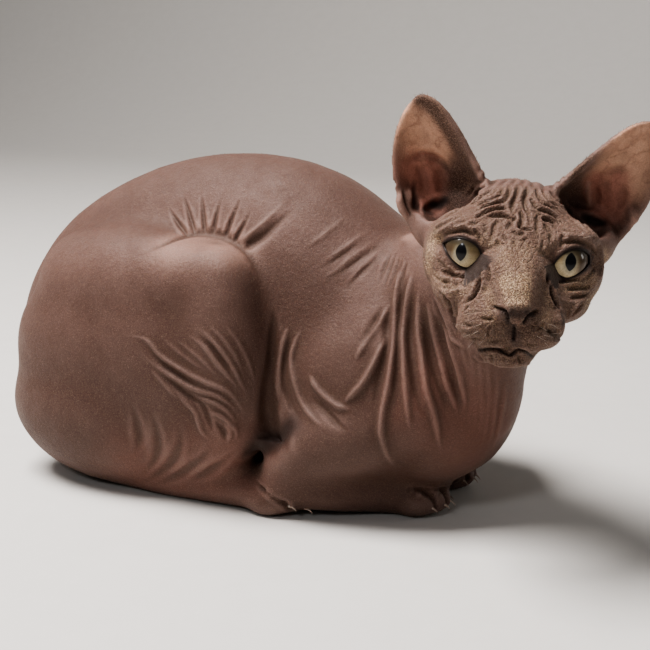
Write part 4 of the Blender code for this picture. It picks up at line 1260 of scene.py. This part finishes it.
def spikes(name, roots, normals, directions, lengths, widths):
    """One piece of closed cones, rooted a little under the skin, each with its own patch of the map."""
    shape, triangles = cone_template()
    side = unit(np.cross(directions, (0.31, 0.42, 0.85)))
    axes = (side * widths[:, None], np.cross(directions, side) * widths[:, None], directions * lengths[:, None])
    points = np.repeat((roots - directions * TUFT_SUNK)[:, None], len(shape), axis=1)
    for column, axis in enumerate(axes):
        points += shape[None, :, column, None] * axis[:, None]
    faces = triangles[None] + len(shape) * np.arange(len(roots))[:, None, None]
    mesh = bpy.data.meshes.new(name)
    mesh.from_pydata(points.reshape(-1, 3).tolist(), [], faces.reshape(-1, 3).tolist())
    patch = (shape[:, :2] + 1) * PATCH / 2
    places = unwrapped(roots, normals)[:, None] + patch[triangles.ravel()][None]
    mesh.uv_layers.new(name="OFBake").data.foreach_set("uv", places.astype(np.float32).ravel())
    piece = bpy.data.objects.new(name, mesh)
    bpy.context.scene.collection.objects.link(piece)
    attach(piece, "root")
    return piece


# %% Down
TUFTS, TUFT_LENGTH, TUFT_WIDTH = 30000, 1.3 * MM, 0.10 * MM
head_local, trunk_local = in_frame(rest, HEAD), in_frame(rest, TRUNK)
on_head = ramp(head_local[:, 0], -75, -60) * ramp(head_local[:, 2], -50, -44)
on_ears = ramp(head_local[:, 2], 26, 36) * ramp(head_local[:, 0], -75, -65)
on_ends = (1 - ramp(trunk_local[:, 2], 8, 16)) * np.maximum(ramp(trunk_local[:, 1], 80, 92), on_feet(trunk_local))
growth = 0.03 + masks["down"] + 0.25 * on_head + 0.45 * on_ears + 0.4 * masks["band_and_shade"] + 0.35 * on_ends
growth *= ramp(from_lid, 1.5, 3.5) * (1 - np.clip(masks["nose"] + masks["dark_and_shade"] + 0.9 * masks["blush_and_painted_light"], 0, 1))
light_mesh.calc_loop_triangles()
corners = np.empty(len(light_mesh.loop_triangles) * 3, np.int32)
light_mesh.loop_triangles.foreach_get("vertices", corners)
corners = corners.reshape(-1, 3)
first, second, third = (light_points[corners[:, index]] for index in range(3))
facing = np.cross(second - first, third - first)
chance = np.linalg.norm(facing, axis=1) * growth[nearest[corners[:, 0]]]
picked = rng.choice(len(corners), TUFTS, p=chance / chance.sum())
one, two = np.sqrt(rng.random((TUFTS, 1))), rng.random((TUFTS, 1))
roots = (1 - one) * first[picked] + one * (1 - two) * second[picked] + one * two * third[picked]
normals = unit(facing[picked])
source = nearest[corners[picked, 0]]
away_from_nose = roots - np.array(HEAD @ Vector((45 * MM, 0, -22 * MM)))
backward = np.array([-1.0, 0.0, -0.35])
groom = np.where(on_head[source, None] > 0.5, unit(away_from_nose), backward)
lying = unit(groom - (groom * normals).sum(axis=1)[:, None] * normals)
directions = unit(lying + 0.42 * normals + rng.normal(0, 0.22, roots.shape))
lengths = TUFT_LENGTH * rng.uniform(0.5, 1.3, TUFTS) * (0.75 + 0.7 * on_ears[source] + 0.25 * on_ends[source])
coat = spikes("down_tufts", roots, normals, directions, lengths, TUFT_WIDTH * rng.uniform(0.7, 1.2, TUFTS))
for name, values in masks.items():
    numbers = np.maximum(values[source], 0.45) if name == "down" else values[source]
    attribute = coat.data.attributes.new(name, "FLOAT", "POINT")
    attribute.data.foreach_set("value", np.repeat(numbers, 4).astype(np.float32))
coat.data.materials.append(skin_material)
print("down:", TUFTS, "tufts,", len(coat.data.polygons), "triangles")

# %% [markdown]
# The whiskers of this breed are few, short and often broken off. They stand on the pads beside the
# nose, and a few more over each eye. Claws show at the toes, because no fur hides them: each is a
# ring swept through a short arc, and made thinner along it.

# %% Whiskers
WHISKER_SPOTS = [
    (466, 326), (473, 322), (481, 324), (470, 334), (478, 331), (486, 333), (474, 341), (483, 341),
    (554, 326), (548, 324), (541, 327), (551, 334), (544, 335), (537, 336), (545, 343), (452, 229), (457, 227),
    (578, 236), (583, 238),
]
bpy.context.view_layer.update()
spots = np.array([seen([spot, spot])[0] for spot in WHISKER_SPOTS])
roots, normals = spots[:, :3], unit(spots[:, 3:])
outward = np.array([HEAD_TURNED @ Vector((0.1, 1 if x > 515 else -1, 1.2 if y < 250 else -0.35)) for x, y in WHISKER_SPOTS])
directions = unit(normals + 0.9 * outward + rng.normal(0, 0.15, roots.shape))
lengths = rng.uniform(3, 8, len(roots)) * MM
whiskers = spikes("whiskers", roots, normals, directions, lengths, np.full(len(roots), 0.08 * MM))
material, tree, shader = new_material("whisker_horn", Roughness=0.45)
streaks = noise(tree, object_place(tree), 700.0)
put(tree, shader.inputs["Base Color"], mixed(tree, streaks, rgb(0.30, 0.22, 0.17), rgb(0.62, 0.54, 0.46)))
whiskers.data.materials.append(material)

# %% Claws
CLAW_RADIUS, CLAW_ARC, CLAW_BEND = 0.85 * MM, 5.0 * MM, math.radians(62)
builder = bmesh.new()
for side in (1, -1):
    for tip, across in FORE_TOES + HIND_TOES:
        spot = Vector(laid([(tip + 3, side * across, 6.5)])[0, :3])
        sideways = Matrix.Rotation(math.radians(90), 4, "Y")
        ring = bmesh.ops.create_circle(builder, cap_ends=False, segments=8, radius=CLAW_RADIUS, matrix=sideways)["verts"]
        edges = list({edge for vertex in ring for edge in vertex.link_edges})
        before = set(builder.verts) - set(ring)
        pivot = Vector((0, 0, -CLAW_ARC))
        bmesh.ops.spin(builder, geom=ring + edges, cent=pivot, axis=(0, 1, 0), angle=CLAW_BEND, steps=5)
        claw = [vertex for vertex in builder.verts if vertex not in before]
        bmesh.ops.holes_fill(builder, edges=[edge for edge in builder.edges if edge.is_boundary], sides=8)
        for vertex in claw:
            from_pivot = vertex.co - pivot
            share = math.atan2(from_pivot.x, from_pivot.z) / CLAW_BEND
            middle = pivot + Vector((from_pivot.x, 0, from_pivot.z)).normalized() * CLAW_ARC
            vertex.co = middle + (vertex.co - middle) * (1 - 0.85 * share)
        turned = Matrix.Rotation(side * math.radians(-8), 4, "Z")
        bmesh.ops.transform(builder, matrix=Matrix.Translation(spot - Vector((1.6 * MM, 0, 0))) @ turned, verts=claw)
bmesh.ops.recalc_face_normals(builder, faces=builder.faces)
mesh = bpy.data.meshes.new("claws")
builder.to_mesh(mesh)
builder.free()
mesh.shade_smooth()
claws = bpy.data.objects.new("claws", mesh)
bpy.context.scene.collection.objects.link(claws)
material, tree, shader = new_material("claw_horn", Roughness=0.3, Subsurface_Weight=0.1, Subsurface_Scale=0.001)
streaks = noise(tree, object_place(tree), 900.0, 3.0)
put(tree, shader.inputs["Base Color"], mixed(tree, streaks, rgb(0.20, 0.13, 0.10), rgb(0.55, 0.45, 0.37)))
mesh.materials.append(material)
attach(claws, "root")
print("whiskers:", len(WHISKER_SPOTS), "claws:", len(mesh.polygons), "faces")

# %% [markdown]
# A cat's eye is nearly all iris. The ball is a sphere with its pole along the gaze and a cornea that
# swells a little in front. Each point keeps how far it lies across and above the gaze, so that the
# slit pupil, the pale ring round it and the fibres of the iris are drawn by a few formulas.

# %% Eyeballs
CORNEA_RISE, CORNEA_SPREAD = 0.8, math.radians(52)
PUPIL_SPOTS = {"right": (461.3, 252), "left": (570.6, 262)}
NOSE_SIDE = {"right": 1, "left": -1}
eyeballs = {}
for side, spot in PUPIL_SPOTS.items():
    gaze = (on_ball(side, spot, EYE_RADIUS) - EYES[side]).normalized()
    head_up = HEAD_TURNED @ Vector((0, 0, 1))
    across = head_up.cross(gaze).normalized()
    axes = np.array([gaze, across, gaze.cross(across)])
    builder = bmesh.new()
    bmesh.ops.create_uvsphere(builder, u_segments=96, v_segments=64, radius=EYE_RADIUS)
    bmesh.ops.rotate(builder, verts=builder.verts, matrix=Vector((0, 0, 1)).rotation_difference(gaze).to_matrix())
    for vertex in builder.verts:
        share = 1 - vertex.co.angle(gaze) / CORNEA_SPREAD
        swell = CORNEA_RISE * MM * max(0.0, share) ** 0.7 * (2 - max(0.0, share)) * 0.7
        vertex.co *= (vertex.co.length + swell) / vertex.co.length
    bmesh.ops.translate(builder, verts=builder.verts, vec=EYES[side])
    mesh = bpy.data.meshes.new("eyeball_" + side)
    builder.to_mesh(mesh)
    builder.free()
    mesh.shade_smooth()
    flat = flat_on_eye(points_of(mesh), side, axes)
    for name, values in (("across", flat[:, 0]), ("above", flat[:, 1]), ("inward", flat[:, 0] * NOSE_SIDE[side])):
        mesh.attributes.new(name, "FLOAT", "POINT").data.foreach_set("value", values.astype(np.float32))
    eyeballs[side] = bpy.data.objects.new("eyeball_" + side, mesh)
    bpy.context.scene.collection.objects.link(eyeballs[side])
    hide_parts("eye_" + side)
    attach(eyeballs[side], "root")
    print(side, "gaze", [round(x, 2) for x in gaze])

# %% [markdown]
# The iris is olive yellow near the pupil, cream below, and darker towards its edge. Its outer side is
# painted darker as painted shade and reflection, and its top near black as the painted shadow of the
# upper lid. Its fibres run outwards from the pupil, so their noise is stretched along the radius. The
# wet surface is a clear coat over it, which takes the highlights.

# %% Iris material
PUPIL_HALF_WIDTH, PUPIL_HALF_HEIGHT = 2.3, 3.9
material, tree, shader = new_material(
    "cat_eye", Roughness=0.35, Coat_Weight=1.0, Coat_Roughness=0.02, Coat_IOR=1.3, Specular_IOR_Level=0.1
)
x, y, inward = (number_on_mesh(tree, name) for name in ("across", "above", "inward"))
wide = math_of(tree, "POWER", math_of(tree, "DIVIDE", math_of(tree, "ABSOLUTE", x), PUPIL_HALF_WIDTH), 1.35)
tall = math_of(tree, "POWER", math_of(tree, "DIVIDE", math_of(tree, "ABSOLUTE", y), PUPIL_HALF_HEIGHT), 1.8)
slit = math_of(tree, "ADD", wide, tall)
radius = math_of(tree, "SQRT", math_of(tree, "ADD", math_of(tree, "MULTIPLY", x, x), math_of(tree, "MULTIPLY", y, y)))
turn = math_of(tree, "ARCTAN2", y, x)
polar = tree.nodes.new("ShaderNodeCombineXYZ")
put(tree, polar.inputs[0], math_of(tree, "MULTIPLY", math_of(tree, "COSINE", turn), 6.0))
put(tree, polar.inputs[1], math_of(tree, "MULTIPLY", math_of(tree, "SINE", turn), 6.0))
put(tree, polar.inputs[2], math_of(tree, "MULTIPLY", radius, 0.25))
fibres = noise(tree, polar.outputs[0], 3.0, 4.0, 0.7)
colour = mixed(tree, ranged(tree, y, 1.0, -4.5), rgb(0.28, 0.205, 0.11), rgb(0.80, 0.66, 0.42))
# painted shade and reflection: the outer side of the iris darker
colour = mixed(tree, ranged(tree, inward, -1.0, -5.0, 0.0, 0.93), colour, rgb(0.050, 0.025, 0.017))
colour = mixed(tree, ranged(tree, slit, 2.1, 1.2, 0.0, 0.6), colour, rgb(0.33, 0.32, 0.25))
colour = mixed(tree, ranged(tree, fibres, 0.35, 0.7, 0.45, 0.0), colour, rgb(0.08, 0.055, 0.028))
colour = mixed(tree, ranged(tree, radius, 7.2, 9.6, 0.0, 0.8), colour, rgb(0.04, 0.024, 0.016))
# painted shadow of the upper lid over the top of the iris
colour = mixed(tree, ranged(tree, y, -0.5, 3.5, 0.0, 0.8), colour, rgb(0.050, 0.040, 0.024))
colour = mixed(tree, ranged(tree, y, 2.5, 6.0), colour, rgb(0.012, 0.009, 0.006))
colour = mixed(tree, ranged(tree, slit, 1.12, 0.98), colour, rgb(0.004, 0.004, 0.005))
put(tree, shader.inputs["Base Color"], colour)
for eyeball in eyeballs.values():
    eyeball.data.materials.append(material)

# %% [markdown]
# The edge of each lid is hairless, dark and always wet. It is a thin cord that follows the opening:
# a closed curve with a round bevel, turned into a mesh.

# %% Lid edges
LID_CORD = 0.5 * MM
material, tree, shader = new_material("wet_lid", Roughness=0.4, Specular_IOR_Level=0.2)
spots = noise(tree, object_place(tree), 900.0)
put(tree, shader.inputs["Base Color"], mixed(tree, spots, rgb(0.006, 0.004, 0.003), rgb(0.022, 0.011, 0.009)))
for side, loop in lid_lines.items():
    cord = bpy.data.curves.new("lid_edge_" + side, "CURVE")
    cord.dimensions, cord.bevel_depth, cord.bevel_resolution = "3D", LID_CORD, 3
    spline = cord.splines.new("POLY")
    spline.points.add(len(loop) - 1)
    spline.use_cyclic_u = True
    centre = np.array(EYES[side])
    away = loop - centre
    ring = centre + away / np.linalg.norm(away, axis=1)[:, None] * (EYE_RADIUS + 0.45 * MM)
    for point, spot in zip(spline.points, ring):
        point.co = (*spot, 1.0)
        point.radius = 1.0
    holder = bpy.data.objects.new("holder", cord)
    mesh = bpy.data.meshes.new_from_object(holder)
    bpy.data.objects.remove(holder)
    edge = bpy.data.objects.new("lid_edge_" + side, mesh)
    mesh.name = edge.name
    bpy.context.scene.collection.objects.link(edge)
    mesh.materials.clear()
    mesh.materials.append(material)
    mesh.shade_smooth()
    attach(edge, "root")

# %% [markdown]
# The picture's light is a soft window from above on the left. A large softbox stands there, a weak one
# fills the shadows from the right, and a small one in front gives each eye its highlight. The floor
# sweeps up behind the cat without an edge.

# %% Floor and lights
FLOOR_SIZE, SWEEP_START, SWEEP_RADIUS, WALL_HEIGHT = 5.0, 1.2, 0.8, 3.0
builder = bmesh.new()
profile = [Vector((0, -FLOOR_SIZE / 2, 0)), Vector((0, SWEEP_START, 0))]
profile += [
    Vector((0, SWEEP_START + SWEEP_RADIUS * math.sin(turn), SWEEP_RADIUS * (1 - math.cos(turn))))
    for turn in (math.radians(90) * step / 16 for step in range(1, 17))
]
profile.append(Vector((0, SWEEP_START + SWEEP_RADIUS, WALL_HEIGHT)))
rim = [builder.verts.new(spot - Vector((FLOOR_SIZE / 2, 0, 0))) for spot in profile]
line = [builder.edges.new(pair) for pair in zip(rim, rim[1:])]
swept = bmesh.ops.extrude_edge_only(builder, edges=line)["geom"]
moved = [item for item in swept if isinstance(item, bmesh.types.BMVert)]
bmesh.ops.translate(builder, verts=moved, vec=(FLOOR_SIZE, 0, 0))
mesh = bpy.data.meshes.new("floor")
builder.to_mesh(mesh)
builder.free()
mesh.shade_smooth()
material, tree, shader = new_material("pale_floor", Roughness=0.7)
grain = noise(tree, object_place(tree), 60.0)
put(tree, shader.inputs["Base Color"], mixed(tree, grain, rgb(0.62, 0.60, 0.57), rgb(0.66, 0.64, 0.61)))
mesh.materials.append(material)
floor = bpy.data.objects.new("floor", mesh)
bpy.context.scene.collection.objects.link(floor)

LIGHTS = {
    "window": ((-0.46, -0.30, 1.38), (-0.02, -0.02, 0.08), 0.7, 52.0, (1.0, 0.96, 0.94)),
    "fill": ((1.18, 0.52, 0.43), (0.14, -0.06, 0.14), 0.3, 1.6, (1.0, 0.97, 0.94)),
    "front": ((-0.1, -1.25, 1.0), (0.14, -0.06, 0.14), 0.25, 3.2, (0.95, 0.97, 1.0)),
}
for name, (spot, aim, size, power, tone) in LIGHTS.items():
    lamp = bpy.data.lights.new(name, "AREA")
    lamp.size, lamp.energy, lamp.color = size, power, tone
    holder = bpy.data.objects.new(name, lamp)
    holder.location = spot
    holder.rotation_mode = "QUATERNION"
    holder.rotation_quaternion = (Vector(aim) - Vector(spot)).to_track_quat("-Z", "Y")
    bpy.context.scene.collection.objects.link(holder)
world = bpy.data.worlds.new("studio")
world.use_nodes = True
world.node_tree.nodes["Background"].inputs["Color"].default_value = rgb(0.9, 0.88, 0.86)
world.node_tree.nodes["Background"].inputs["Strength"].default_value = 0.10
bpy.context.scene.world = world
bpy.context.scene.view_settings.view_transform = "AgX"
bpy.context.scene.view_settings.look = "AgX - Medium High Contrast"
